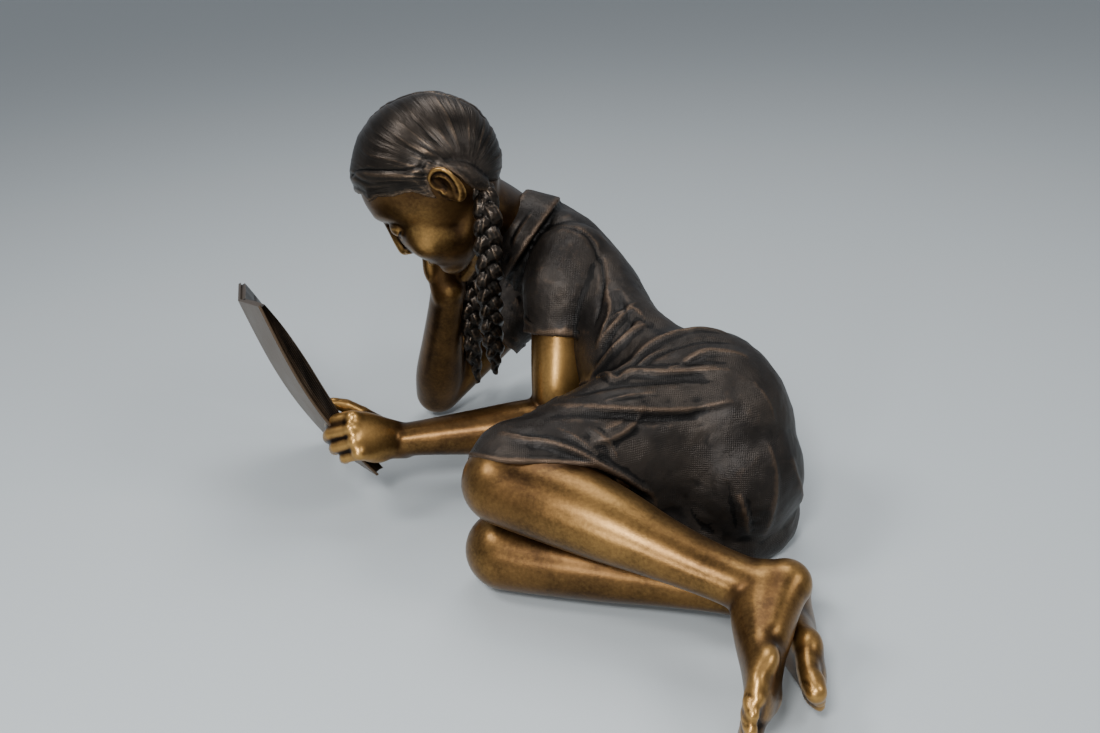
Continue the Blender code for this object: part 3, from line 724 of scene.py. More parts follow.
def hair(voxel):
    """The combed hair: strands from the parting round the head to the roots of the two plaits."""
    at, front, side, up = head_frame()
    forms = bmesh.new()
    ball(forms, at(0.0, 0, 1.0), (10.0, 7.7, 9.2), front=front, up=up, segments=96)
    for s in (-1, 1):
        rows = ((-2.5, s * 6.2, 1.5, 1.6), (-4.0, s * 5.8, -1.6, 1.9), (-4.3, s * 4.9, -4.6, 1.5))
        loft(forms, [(at(f, a, u), r, r) for f, a, u, r in rows])
    skin = Skin(cover("hair", forms, voxel, 4))
    away = skin.points - np.array(HEAD)
    f, s, u = (away @ np.array(way) for way in (front, side, up))
    which = np.where(s > 0, 1.0, -1.0)
    # Strands keep their angle round the root of the plait.
    turned = np.stack([f, s * which, u], axis=1) - np.array(PLAIT_ROOT)
    outward = np.array([-0.30, 0.92, -0.2])
    outward /= np.linalg.norm(outward)
    one = np.cross(outward, (0, 0, 1.0))
    one /= np.linalg.norm(one)
    two = np.cross(outward, one)
    distance = np.linalg.norm(turned, axis=1)
    angle = np.arctan2(turned @ two, turned @ one) + 0.035 * waves(skin.points, 5.0, 11) + np.pi
    far = np.clip((distance - 1.0) / 5, 0, 1)
    fringe = 0.22 * strands(angle, distance / 6, 24, 150) + 0.14 * strands(angle, distance / 9, 25, 60)
    fringe *= np.clip((f - 1.5) / 2, 0, 1)
    edge = outline_distance(np.stack([f, u], axis=1), HAIRLINE) + fringe + 0.05 * waves(skin.points, 0.9, 3)
    # Inside the hairline the hair sinks under the skin, and it thins towards it.
    bare = np.clip(0.5 - edge / 0.36, 0, 1)
    thin = np.clip(edge / 2.2, 0, 1)
    thin = 0.36 * (1 - thin * thin * (3 - 2 * thin))
    amount = np.zeros(len(skin.points))
    for height, length, seed, count, rise in STRANDS:
        amount += height * strands(angle, distance / length, seed, count) * far**rise
    # The parting.
    amount -= 0.20 * np.exp(-((s / 0.22) ** 2)) * (u > 0)
    path = ((6.3, 2.6, 7.3), (4.7, 4.2, 7.6), (2.3, 6.1, 6.0), (-0.2, 7.3, 3.9), (-2.7, 7.4, 2.0))
    for w in (-1, 1):
        lock = [(a, b * w, c) for a, b, c in path]
        skin.ridge(amount, [at(*row) for row in lock], -0.22, 0.22, fade=0.3)
        skin.ridge(amount, [at(a + 0.5, b, c - 0.6) for a, b, c in lock], 0.12, 0.6, fade=0.5)
    amount = (amount - thin) * (1 - bare) - 2.2 * bare
    skin.push(amount)
    skin.store("turn", angle)
    skin.store("reach", distance)
    return skin


def plait(name, rows, voxel, spread=0.78, thick=0.86, pitch=7.2):
    """A three-strand plait along rows of (x, y, z, size), ending in a tapered tuft."""
    forms = bmesh.new()
    path = spline(rows, 24)
    centres = [Vector(row[:3]) for row in path]
    run = [0.0]
    for a, b in zip(centres, centres[1:]):
        run.append(run[-1] + (b - a).length)
    woven = run[-1] * 0.86
    for strand in range(3):
        line = []
        for i, row in enumerate(path):
            along = (centres[min(i + 1, len(path) - 1)] - centres[max(i - 1, 0)]).normalized()
            across = (Vector((1, 0, 0.2)) - along * along.dot(Vector((1, 0, 0.2)))).normalized()
            out = along.cross(across)
            turn = 2 * math.pi * (run[i] / pitch + strand / 3)
            open_end = max(0.0, (run[i] - woven) / (run[-1] - woven))
            size = row[3] * (1 - 0.6 * open_end) * (1 + 0.06 * math.sin(1.7 * run[i] + strand))
            centre = centres[i] + across * spread * size * math.sin(turn)
            centre += out * spread * 0.55 * size * math.sin(2 * turn)
            line.append((centre, thick * size, thick * size * 0.8))
        flutes = ((9, 0.035, strand), (5, 0.05, 2 * strand), (13, 0.025, 3 * strand))
        loft(forms, line, side=(1, 0, 0.2), sides=56, steps=1, flutes=flutes)
    skin = Skin(cover(name, forms, voxel, 1))
    skin.push(0.03 * waves(skin.points, 0.7, 41) + 0.015 * waves(skin.points, 0.25, 42))
    return skin


# Folds of the dress as they show in the photograph's view: line, height and half width, before
# they are made sharper by these factors.
FOLD_HEIGHT, FOLD_WIDTH = 1.3, 0.8
FOLDS = (
    (((658, 310), (640, 318), (622, 333), (606, 350), (596, 368)), -0.55, 0.9),
    (((650, 322), (636, 331), (620, 345), (604, 362), (592, 378)), 0.45, 0.7),
    (((733, 336), (713, 330), (690, 331), (667, 338), (645, 351), (625, 367), (608, 378)), 0.5, 0.8),
    (((740, 345), (715, 341), (690, 343), (665, 352), (640, 366)), -0.3, 0.7),
    (((750, 359), (728, 353), (705, 353), (687, 361), (668, 370)), 0.4, 0.7),
    (((730, 364), (700, 363), (672, 364), (645, 364), (622, 369)), -0.35, 0.6),
    (
        ((733, 371), (700, 371), (660, 373), (632, 373), (610, 378), (583, 385), (557, 394), (530, 406)),
        *(0.55, 0.6),
    ),
    (((725, 382), (690, 381), (655, 382), (620, 384), (590, 391), (560, 401)), -0.3, 0.9),
    (
        ((735, 401), (713, 405), (687, 410), (660, 411), (630, 410), (600, 408), (570, 408), (515, 415)),
        *(0.45, 0.7),
    ),
    (((700, 418), (670, 420), (640, 420), (610, 417), (575, 416), (540, 418)), -0.3, 0.8),
    (((645, 404), (637, 420), (625, 432), (608, 440), (590, 442)), 0.35, 0.7),
    (((628, 414), (618, 424), (603, 430)), 0.2, 0.6),
    (
        ((497, 432), (520, 437), (545, 441), (570, 448), (595, 460), (615, 470), (632, 480), (646, 492)),
        *(0.4, 0.55),
    ),
    (((500, 439), (530, 445), (560, 451), (585, 460), (605, 470)), -0.1, 0.5),
    (((740, 492), (746, 513), (749, 535)), 0.3, 0.5),
    (((728, 480), (733, 510), (737, 530)), -0.2, 0.8),
    (((765, 430), (775, 470), (772, 510), (762, 540)), 0.25, 0.9),
    (((790, 455), (797, 480), (796, 505), (786, 530)), 0.3, 0.9),
    (((606, 285), (611, 310), (605, 330), (598, 350)), 0.3, 0.5),
    (((618, 290), (626, 312), (632, 330)), -0.25, 0.7),
    (((655, 305), (635, 310), (618, 322), (605, 337), (596, 352)), 0.35, 0.5),
    (((503, 320), (515, 340), (530, 352)), 0.25, 0.5),
    (((500, 345), (512, 365), (528, 385)), 0.25, 0.6),
    (((497, 368), (508, 385), (522, 398)), 0.25, 0.5),
    (((534, 207), (522, 222), (512, 240), (508, 260), (506, 285), (511, 305), (523, 322)), -0.2, 0.28),
    (((537, 209), (526, 222), (516, 240), (512, 260), (510, 285), (515, 303), (527, 318)), 0.1, 0.25),
    (((555, 226), (541, 232), (530, 250), (523, 275), (521, 300), (525, 318)), -0.28, 0.34),
    (((555, 226), (575, 229), (592, 241), (602, 262), (604, 285), (600, 310), (594, 330)), -0.28, 0.34),
    (((517, 262), (515, 285), (519, 303), (527, 320)), 0.25, 0.3),
    (((640, 306), (622, 322), (610, 338), (602, 356)), -0.2, 0.35),
    (((648, 316), (634, 330), (618, 346), (607, 360)), 0.18, 0.3),
    (((603, 330), (612, 318), (626, 308), (640, 301)), 0.15, 0.3),
    (((690, 342), (668, 348), (650, 357), (632, 368), (618, 376)), 0.2, 0.35),
    (((660, 392), (640, 394), (618, 398), (600, 404)), 0.15, 0.35),
    (((585, 425), (600, 434), (612, 447), (620, 462)), 0.18, 0.4),
    (((555, 428), (572, 434), (588, 446), (600, 458)), 0.15, 0.4),
    (((690, 505), (700, 520), (716, 534)), -0.15, 0.4),
    (((752, 380), (768, 400), (776, 425)), 0.14, 0.6),
)
# The hem over the near knee, and the hollow between thigh and hip, as they show there.
HEM = (
    *((440, 452), (463, 456), (500, 463), (550, 465), (597, 468)),
    *((627, 482), (640, 490), (660, 500), (700, 525)),
)
HIP_GAP = ((694, 428), (699, 455), (695, 478), (690, 500), (706, 526))


def about(points, start, way):
    """How far points are along a direction from a start, and how far from that line."""
    away = points - np.array(start)
    down = away @ np.array(way)
    return down, np.linalg.norm(away - down[:, None] * np.array(way), axis=1)


def dress(voxel):
    """The clothed body: chest, waist, hips, skirt over both thighs, sleeves, cuffs and collar."""
    forms = bmesh.new()
    rows = [
        (Vector((1.2, 24.8, 24.8)), 9.0, 5.0, (0.16, -0.86, 0.48)),
        (Vector((3.2, 20.8, 23.6)), 11.6, 6.8, (0.16, -0.86, 0.48)),
        (Vector((6.4, 13.7, 20.8)), 10.8, 7.0, (0.15, -0.75, 0.6)),
        (Vector((9.4, 5.4, 18.2)), 9.6, 6.3, (0.1, -0.5, 0.85)),
        (Vector((13.0, -1.0, 15.0)), 11.3, 8.6, (0.05, -0.2, 1)),
        (Vector((18.3, -6.0, 13.2)), 12.8, 9.8, (0.0, 0.0, 1)),
        (Vector((20.2, -9.5, 10.0)), 10.6, 8.8, (0.0, 0.0, 1)),
    ]
    loft(forms, rows, sides=64)
    ball(forms, (21.0, -9.0, 4.0), (8.6, 8.4, 6.8))
    ball(forms, (17.5, -11.8, 12.3), (6.2, 4.9, 6.4))
    rows = [
        (Vector((16.0, -7.5, 13.0)), 12.3, 8.8),
        (Vector((8.0, -11.0, 13.2)), 10.4, 8.0),
        (Vector((0.5, -14.5, 13.8)), 8.4, 6.9),
        (Vector((-4.2, -16.4, 14.9)), 6.2, 5.9),
    ]
    loft(forms, rows, sides=64)
    loft(forms, [(Vector((12, -14, 6)), 5.0, 5.0), (Vector((20.5, -14.5, 3.5)), 4.0, 4.0)])
    collar, rise = NECK.lerp(SKULL, 0.52), COLLAR_WAY.normalized()
    loft(forms, [(Vector((2.2, 23.5, 25.0)), 7.4, 6.4), (collar - rise * 1.9, 6.0, 6.0)], ends=(1, 0.1))
    forms = melt(forms, 0.004, 30)
    shoulders = ((SHOULDER_L, ELBOW_L, (0.8, 1.5, -1.5)), (SHOULDER_R, ELBOW_R, (0, 0, 0)))
    for shoulder, elbow, shift in shoulders:
        along = elbow - shoulder
        end = shoulder + along * SLEEVE_SHARE
        sleeve = [(shoulder + Vector(shift), 5.2, 5.6), (shoulder + along * 0.2, 5.2, 5.5), (end, 4.5, 4.6)]
        loft(forms, sleeve, side=(0, 1, 0), ends=(1, 0.05))
        way = along.normalized()
        loft(forms, [(end - way * CUFF, 4.95, 5.1), (end, 4.95, 5.05)], side=(0, 1, 0), ends=(0.06, 0.06))
    band = [(collar - rise * drop, r, r) for drop, r in ((4.4, 6.8), (2.4, 6.0), (1.2, 5.5), (0, 4.95))]
    loft(forms, band, ends=(0.05, 0.05))
    skin = Skin(cover("dress", forms, voxel, 2))
    # Inside the sleeves and the collar the cloth draws back from the skin.
    for shoulder, elbow, _ in shoulders:
        way = (elbow - shoulder).normalized()
        reach = (elbow - shoulder).length * SLEEVE_SHARE
        down, wide = about(skin.points, shoulder, way)
        inside = np.clip((4.4 - wide) / 0.2, 0, 1) * (down > reach - 0.5) * (down < reach + 1.5)
        skin.pull(-1.6 * inside, way)
    down, wide = about(skin.points, collar, rise)
    skin.pull(-1.2 * np.clip((4.65 - wide) / 0.2, 0, 1) * (np.abs(down) < 0.8), rise)
    amount = np.zeros(len(skin.points))
    for shoulder, elbow, _ in shoulders:
        end = shoulder.lerp(elbow, SLEEVE_SHARE)
        at, ahead, side, up = local(end, Vector((0, 1, 0)), elbow - shoulder)
        seam, edge = (-CUFF - 0.1, 4.9, -0.3, 0.2), (-CUFF + 0.3, 5.0, 0.14, 0.22)
        for drop, r, height, width in (seam, edge, (-0.15, 5.0, 0.2, 0.22)):
            turns = [2 * math.pi * k / 12 for k in range(13)]
            circle = [tuple(at(r * 1.02 * math.cos(a), r * math.sin(a), drop)) for a in turns]
            skin.ridge(amount, circle, height, width, fade=0.0)
    sight = Sight(skin)
    # Where the thigh meets the hip the cloth hangs over the gap.
    gap = np.zeros(len(skin.points))
    skin.ridge(gap, sight(*HIP_GAP), 1.5, 2.4, fade=0.4)
    skin.soften(np.clip(gap, 0, 1), 100)
    for line, height, width in FOLDS:
        skin.ridge(amount, sight(*line), height * FOLD_HEIGHT, width * FOLD_WIDTH, fade=0.8, lean=0.4)
    amount += 0.10 * waves(skin.points, 6.0, 31) + 0.05 * waves(skin.points, 2.5, 32)
    amount += 0.018 * waves(skin.points, 0.8, 33)
    # Over the near knee the hem ends in a rim, and the cloth under it gives way to the leg.
    x, y = pixels(skin.points)
    facing = np.clip(-(skin.normals @ np.array(view_axes()[2])) * 3, 0, 1)
    near = np.clip((x - 440) / 10, 0, 1) * np.clip((655 - x) / 15, 0, 1) * (skin.points[:, 1] < -9) * facing
    below = y - np.interp(x, *zip(*HEM))
    amount += 0.28 * near * np.exp(-(((below + 3.5) / 3.0) ** 2))
    amount -= 1.6 * near * np.clip(below / 5, 0, 1) * (below < 40)
    skin.push(amount)
    # Hands have rubbed the rims of the near cuff and of the hem bright.
    for x in range(540, 592, 4):
        skin.rims.append((sight((x, 333 - 2 * math.sin(math.pi * (x - 540) / 50)))[0], 0.45, 1.0))
    for x in range(470, 612, 5):
        share = 0.3 + 0.7 * math.exp(-(((x - 585) / 30) ** 2))
        skin.rims.append((sight((x, float(np.interp(x, *zip(*HEM))) - 3.5))[0], 0.45, share))
    return skin


def book_frame():
    """Directions of the book: up its height, across its width, out of its pages."""
    up = BOOK_UP.normalized()
    out = (BOOK_OUT - BOOK_OUT.dot(up) * up).normalized()
    return up, up.cross(out), out


def book_sweep(forms, half_profile, stations=120, inset=0.0):
    """A bowed sweep up the open book of the same profile on both halves: (in from the edge, out)."""
    up, across, out = book_frame()
    slopes = [math.radians(tilt) for tilt in (NEAR_TILT, FAR_TILT)]
    near_way, far_way = (across * math.cos(t) + out * math.sin(t) for t in slopes)
    near_face, far_face = (out * math.cos(t) - across * math.sin(t) for t in slopes)
    rings = []
    for k in range(stations + 1):
        share = (inset + (1 - 2 * inset) * k / stations)
        bow = -BOOK_BOW * math.sin(math.pi * share) * (1 - 0.25 * share)
        near, far, middle, spine = half_profile(share)
        base = BOOK_LOW + up * BOOK_TALL * share + out * bow
        hinge = base + near_way * BOOK_WIDE
        points = [base + near_way * w + near_face * o for w, o in near]
        points.append(hinge + out * middle)
        points += [hinge + far_way * (BOOK_WIDE - w) + far_face * o for w, o in reversed(far)]
        points.append(hinge + out * spine)
        rings.append([forms.verts.new(p * 0.01) for p in points])
    sides = len(rings[0])
    for low, high in zip(rings, rings[1:]):
        for k in range(sides):
            forms.faces.new((low[k], low[(k + 1) % sides], high[(k + 1) % sides], high[k]))
    forms.faces.new(reversed(rings[0]))
    forms.faces.new(rings[-1])
    bmesh.ops.recalc_face_normals(forms, faces=forms.faces)


def cover_profile(share):
    """The two boards and the spine between them."""
    board = [(0.06, 0.0), (0.0, 0.05), (-0.02, BOARD * 0.5), (0.0, BOARD - 0.05), (0.06, BOARD)]
    inner = [(BOOK_WIDE * t, BOARD) for t in (0.1, 0.3, 0.5, 0.7, 0.9)]
    return board + inner, board + inner, BOARD, 0.0


def leaf_profile(share):
    """The leaves: a fore edge of thin wavy layers and a gently crowned page with shallow strokes."""
    deep = LEAVES * (0.8 + 0.85 * math.sin(math.pi * share**1.3) - 0.45 * share**6)
    layers, lines = 9, 17
    line, number = (share * lines) % 1.0, int(share * lines)
    printed = 0.35 < line < 0.65 and 0.07 < share < 0.93
    halves = []
    for far in (0, 1):
        rows = []
        for j in range(layers * 2 + 1):
            rise = j / (layers * 2)
            wave = 0.08 * math.sin(9 * share + 5 * rise + far) + 0.05 * math.sin(31 * share - 9 * rise)
            gap = 0.11 if j % 2 else 0.0
            rows.append((0.42 + wave - gap - 0.12 * rise, BOARD + 0.02 + deep * rise * 0.97))
        for j in range(1, 48):
            across = 0.45 + (BOOK_WIDE - 0.9) * j / 47
            crown = 0.12 * math.sin(math.pi * j / 50) + 0.02 * math.sin(13 * share + 0.3 * j)
            word = math.sin(number * 12.9 + int(j * 0.9 + far) * 4.1) > -0.55 and 6 < j < 42
            rows.append((across, BOARD + deep + crown - (0.05 if printed and word else 0.0)))
        halves.append(rows)
    return halves[0], halves[1], BOARD + deep * 0.35, BOARD * 0.9


# Patinas.


class Nodes:
    """Short calls for building a material."""

    def __init__(self, name):
        self.material = bpy.data.materials.new(name)
        self.material.use_nodes = True
        self.tree = self.material.node_tree
        self.shader = self.tree.nodes["Principled BSDF"]

    def add(self, kind, **settings):
        """A node with its settings; names of inputs that start with i_ set or link sockets by number."""
        node = self.tree.nodes.new("ShaderNode" + kind)
        for key, value in settings.items():
            if key[:2] == "i_":
                self.put(node.inputs[int(key[2:])], value)
            else:
                setattr(node, key, value)
        return node

    def put(self, socket, value):
        """Link a socket, or set its value."""
        if isinstance(value, bpy.types.NodeSocket):
            self.tree.links.new(value, socket)
        else:
            socket.default_value = value

    def noise(self, size, detail=4.0, rough=0.55, warp=0.0, place=None):
        """Noise with lumps of that size in metres, on the piece or at another place."""
        node = self.add("TexNoise")
        inputs = ("Vector", "Scale", "Detail", "Roughness", "Distortion")
        values = (place or self.add("TexCoord").outputs["Object"], 1 / size, detail, rough, warp)
        for name, value in zip(inputs, values):
            self.put(node.inputs[name], value)
        return node.outputs[0]

    def stored(self, name):
        """One of the values that the piece keeps for its points."""
        return self.add("Attribute", attribute_name=name).outputs["Fac"]

    def total(self, *parts):
        """The sum of (value, factor) pairs."""
        result = 0.0
        for value, factor in parts:
            result = self.math("ADD", result, self.math("MULTIPLY", value, factor))
        return result

    def span(self, value, low, high):
        """The value stretched so that low gives 0 and high gives 1."""
        node = self.add("MapRange", i_0=value, i_1=low, i_2=high)
        node.interpolation_type = "SMOOTHSTEP"
        return node.outputs[0]

    def math(self, how, one, two=0.0):
        """One step of arithmetic."""
        return self.add("Math", operation=how, i_0=one, i_1=two).outputs[0]

    def mix(self, share, one, two):
        """Two colours mixed by a share."""
        node = self.add("Mix", data_type="RGBA")
        self.put(node.inputs[0], share)
        self.put(node.inputs[6], one)
        self.put(node.inputs[7], two)
        return node.outputs[2]

    def bump(self, height, depth, strength, under=None):
        """A bump of that depth in metres."""
        node = self.add("Bump")
        self.put(node.inputs["Height"], height)
        self.put(node.inputs["Distance"], depth)
        self.put(node.inputs["Strength"], strength)
        if under is not None:
            self.put(node.inputs["Normal"], under)
        return node.outputs[0]


def bronze(name, dark, middle, bright, metal, rough, wear_and_highlight_span, weave=0.0, patch=0.06, strand=False):
    """Patinated bronze: dark in the hollows from patina and painted shade, mottled on the flats, rubbed
    bright on the ridges, with painted highlights at the polished spots.
    """
    nodes = Nodes(name)
    ridge, form, polish_and_highlight = (nodes.stored(value) for value in ("ridge", "form", "polish_and_highlight"))
    cloud = nodes.noise(patch, 5, 0.6, 0.4)
    grain = nodes.noise(0.004, 4, 0.6)
    base = nodes.mix(nodes.span(cloud, 0.3, 0.7), (*dark, 1), (*middle, 1))
    grain = nodes.math("SUBTRACT", grain, 0.5)
    # Rubbed wear brightens the ridges, and the polished spots add painted highlights.
    rubbed = nodes.total((form, 0.6), (ridge, 0.4), (grain, 0.25), (polish_and_highlight, 0.4))
    base = nodes.mix(nodes.span(rubbed, *wear_and_highlight_span), base, (*bright, 1))
    # Painted shade: concave places darken towards a near-black brown, partly the patina that gathers in
    # hollows.
    hollow = nodes.total((form, 0.5), (ridge, 0.5))
    shade = [c * 0.35 for c in dark]
    base = nodes.mix(nodes.span(hollow, 0.42, 0.22), base, (*shade, 1))
    nodes.put(nodes.shader.inputs["Base Color"], base)
    nodes.put(nodes.shader.inputs["Metallic"], metal)
    nodes.put(nodes.shader.inputs["Roughness"], nodes.math("ADD", nodes.total((cloud, 0.16)), rough - 0.08))
    surface = nodes.bump(nodes.noise(0.0016, 3, 0.6), 0.0002, 0.35)
    surface = nodes.bump(nodes.noise(0.012, 3, 0.5), 0.0006, 0.25, surface)
    if weave:
        place = nodes.add("TexCoord").outputs["Object"]
        split = nodes.add("SeparateXYZ", i_0=place)
        turn = nodes.add("SeparateXYZ", i_0=nodes.add("NewGeometry").outputs["Normal"])
        warp = nodes.math("MULTIPLY", nodes.noise(0.006, 3, 0.6), 7.0)
        lines = []
        for axis, pace in enumerate((1, 1.1, 0.93)):
            phase = nodes.math("MULTIPLY", split.outputs[axis], 2 * math.pi / weave * pace)
            line = nodes.math("SINE", nodes.math("ADD", phase, warp))
            steep = nodes.math("ABSOLUTE", turn.outputs[axis])
            lines.append(nodes.math("MULTIPLY", line, nodes.math("SUBTRACT", 1.0, steep)))
        cloth = nodes.math("ADD", nodes.math("ADD", lines[0], lines[1]), lines[2])
        cloth = nodes.math("MULTIPLY", cloth, nodes.span(nodes.noise(0.03, 3, 0.6), 0.35, 0.75))
        surface = nodes.bump(cloth, 0.0004, 0.5, surface)
        surface = nodes.bump(nodes.noise(0.02, 5, 0.65, 0.6), 0.0022, 0.5, surface)
    if strand:
        reach = nodes.math("MULTIPLY", nodes.stored("reach"), 0.35)
        for count, depth in ((38, 0.0007), (95, 0.0004)):
            turn = nodes.math("MULTIPLY", nodes.stored("turn"), count)
            lines = nodes.noise(1.0, 2.0, 0.5, place=nodes.add("CombineXYZ", i_0=turn, i_1=reach).outputs[0])
            surface = nodes.bump(lines, depth, 0.8, surface)
    nodes.put(nodes.shader.inputs["Normal"], surface)
    return nodes.material


def colour(name, description, default):
    """A colour property."""
    return bpy.props.FloatVectorProperty(
        name=name, description=description, subtype="COLOR", min=0, max=1, default=default
    )


def step(name, description, default):
    """A length property for the size of the voxels."""
    return bpy.props.FloatProperty(
        name=name, description=description, default=default, min=0.0008, precision=5, unit="LENGTH"
    )


class StatuePatina(bpy.types.PropertyGroup):
    """Colours of the patina."""

    skin_dark: colour("Skin, dark", "Brown patina of the skin", (0.036, 0.017, 0.006))
    skin_middle: colour("Skin", "Polished skin", (0.115, 0.058, 0.019))
    # The bright skin colour also paints the highlights at the polished spots.
    skin_bright: colour("Skin, bright", "Rubbed high places of the skin", (0.44, 0.25, 0.078))
    cloth_dark: colour("Cloth, dark", "Patina of the dress", (0.014, 0.0115, 0.01))
    cloth_middle: colour("Cloth", "Worn patina of the dress", (0.036, 0.028, 0.022))
    cloth_bright: colour("Cloth, rubbed", "Rubbed folds of the dress", (0.085, 0.055, 0.035))
    hair_dark: colour("Hair, dark", "Patina of the hair", (0.013, 0.0105, 0.0085))
    hair_bright: colour("Hair, rubbed", "Rubbed strands", (0.11, 0.075, 0.048))
    floor: colour("Floor", "Colour of the floor", (0.43, 0.465, 0.48))


class StatueSizes(bpy.types.PropertyGroup):
    """How fine the skins are."""

    face_step: step("Face step", "Voxel of the face, and with HAIR_COARSER of the combed hair", 0.00155)
    leg_step: step("Leg step", "Voxel of the legs", 0.0023)
    arm_step: step("Arm step", "Voxel of the arms", 0.001886)
    cloth_step: step("Cloth step", "Voxel of the dress", 0.0031)
    plait_step: step("Plait step", "Voxel of the plaits", 0.0013)


def patina():
    """The colours set in the sidebar."""
    return bpy.context.scene.statue_patina


def sizes():
    """The voxel sizes set in the sidebar."""
    return bpy.context.scene.statue_sizes


def skin_metal():
    """The polished skin, made once."""
    colours = patina()
    found = bpy.data.materials.get("polished_skin")
    return found or bronze(
        "polished_skin",
        *(colours.skin_dark, colours.skin_middle, colours.skin_bright),
        metal=0.9,
        rough=0.33,
        wear_and_highlight_span=(0.52, 1.08),
        patch=0.045,
    )


class STATUE_OT_stage(bpy.types.Operator):
    """Floor, light and camera"""

    bl_idname = "statue.stage"
    bl_label = "Stage"

    def execute(self, context):
        scene = context.scene
        bpy.ops.mesh.primitive_plane_add(size=30, location=(0, 8, 0))
        floor = context.object
        floor.name = "floor"
        nodes = Nodes("floor")
        nodes.put(nodes.shader.inputs["Base Color"], (*patina().floor, 1))
        nodes.put(nodes.shader.inputs["Roughness"], 0.7)
        floor.data.materials.append(nodes.material)
        world = bpy.data.worlds.new("studio")
        world.use_nodes = True
        world.node_tree.nodes["Background"].inputs["Color"].default_value = (0.80, 0.84, 0.90, 1)
        world.node_tree.nodes["Background"].inputs["Strength"].default_value = 0.45
        scene.world = world
        lamps = (  # name, place and size in metres, watts
            ("key", (-0.2, -1.35, 1.35), 0.3, 24),
            ("front", (-0.5, -1.6, 0.6), 0.2, 9),
            ("side", (-1.4, -0.4, 2.2), 0.7, 26),
            ("fill", (1.7, -0.8, 1.9), 0.8, 20),
            ("top", (0.2, 0.9, 2.4), 1.2, 26),
        )
        for name, place, size, power in lamps:
            lamp = bpy.data.lights.new(name, "AREA")
            lamp.size, lamp.energy = size, power
            item = bpy.data.objects.new(name, lamp)
            scene.collection.objects.link(item)
            item.location = place
            item.rotation_euler = (Vector((0, 0, 0.2)) - Vector(place)).to_track_quat("-Z", "Y").to_euler()
        right, down, forward = view_axes()
        camera = bpy.data.objects.new("camera", bpy.data.cameras.new("camera"))
        scene.collection.objects.link(camera)
        camera.data.sensor_width, camera.data.lens = 36.0, 36.0 * FOCAL / IMAGE[0]
        turn = Matrix((right, -down, -forward)).transposed().to_4x4()
        camera.matrix_world = Matrix.Translation(EYE * 0.01 + FLOOR_SHIFT) @ turn
        scene.camera = camera
        return {"FINISHED"}


class STATUE_OT_legs(bpy.types.Operator):
    """Both bare legs and feet"""

    bl_idname = "statue.legs"
    bl_label = "Legs"

    def execute(self, context):
        voxel = sizes().leg_step
        # Bright spots: painted highlights on the top of the near shin and at the near ankle, and rubbed wear
        # on the knees and toes.
        shin, toes = KNEE_L.lerp(ANKLE_L, 0.45) + Vector((0, -1.5, 4)), ANKLE_L + FOOT_L * 14
        spots = ((KNEE_L, 7, 0.1), (shin, 7, 0.45), (ANKLE_L, 4, 0.4), (toes, 4, 0.7))
        left = leg("leg_left", HIP_L, KNEE_L, ANKLE_L, FOOT_L, INSTEP_L, 1, voxel)
        left.finish(skin_metal(), spots=spots)
        spots = ((KNEE_R, 5, 0.2), (ANKLE_R + FOOT_R * 14, 3, 0.4))
        right = leg("leg_right", HIP_R, KNEE_R, ANKLE_R, FOOT_R, INSTEP_R, -1, voxel)
        right.finish(skin_metal(), spots=spots)
        return {"FINISHED"}


class STATUE_OT_arms(bpy.types.Operator):
    """Both arms: the left hand grips the book, the right is a loose fist at the jaw"""

    bl_idname = "statue.arms"
    bl_label = "Arms"

    def execute(self, context):
        voxel = sizes().arm_step
        grip = ((3, 72, 44, 14), (0, 75, 44, 14), (-3, 78, 44, 14), (-8, 82, 44, 14))
        thumb = ((1.8, 2.1, -1.0), (0.88, 0.36, -0.27), (-0.6, 0.55, 0.5), (-8, 6, 12))
        left = arm("arm_left", SHOULDER_L, ELBOW_L, WRIST_L, voxel, PALM_L, HAND_BACK_L, 1, grip, thumb)
        # Bright spots: painted highlights on the near upper arm and the back of the near hand, and a rubbed
        # spot on the right arm.
        upper = SHOULDER_L.lerp(ELBOW_L, 0.62) + Vector((0, -3, 0))
        left.finish(skin_metal(), spots=((upper, 5, 1.0), (WRIST_L + PALM_L * 6, 4, 1.0)))
        fist = ((3, 40, 75, 50), (0, 45, 80, 50), (-2, 50, 85, 50), (-5, 55, 85, 50))
        thumb = ((2.2, 2.2, -1.2), (0.75, 0.35, -0.55), (0.3, 0.8, -0.2), (0, 15, 15))
        right = arm("arm_right", SHOULDER_R, ELBOW_R, WRIST_R, voxel, PALM_R, HAND_BACK_R, -1, fist, thumb)
        right.finish(skin_metal(), spots=((ELBOW_R.lerp(SHOULDER_R, 0.3), 4, 0.6),))
        return {"FINISHED"}


class STATUE_OT_head(bpy.types.Operator):
    """Neck, face and ears"""

    bl_idname = "statue.head"
    bl_label = "Head"

    def execute(self, context):
        at, _, _, _ = head_frame()
        # Bright spots: a painted highlight on the cheek, and rubbed wear on the nose tip and the chin.
        spots = ((at(4.5, 6.0, -3.5), 4.0, 0.65), (at(9.8, 0, -3.5), 1.8, 1.0), (at(7, 0, -9.5), 2.5, 0.4))
        face(sizes().face_step).finish(skin_metal(), spots=spots)
        return {"FINISHED"}


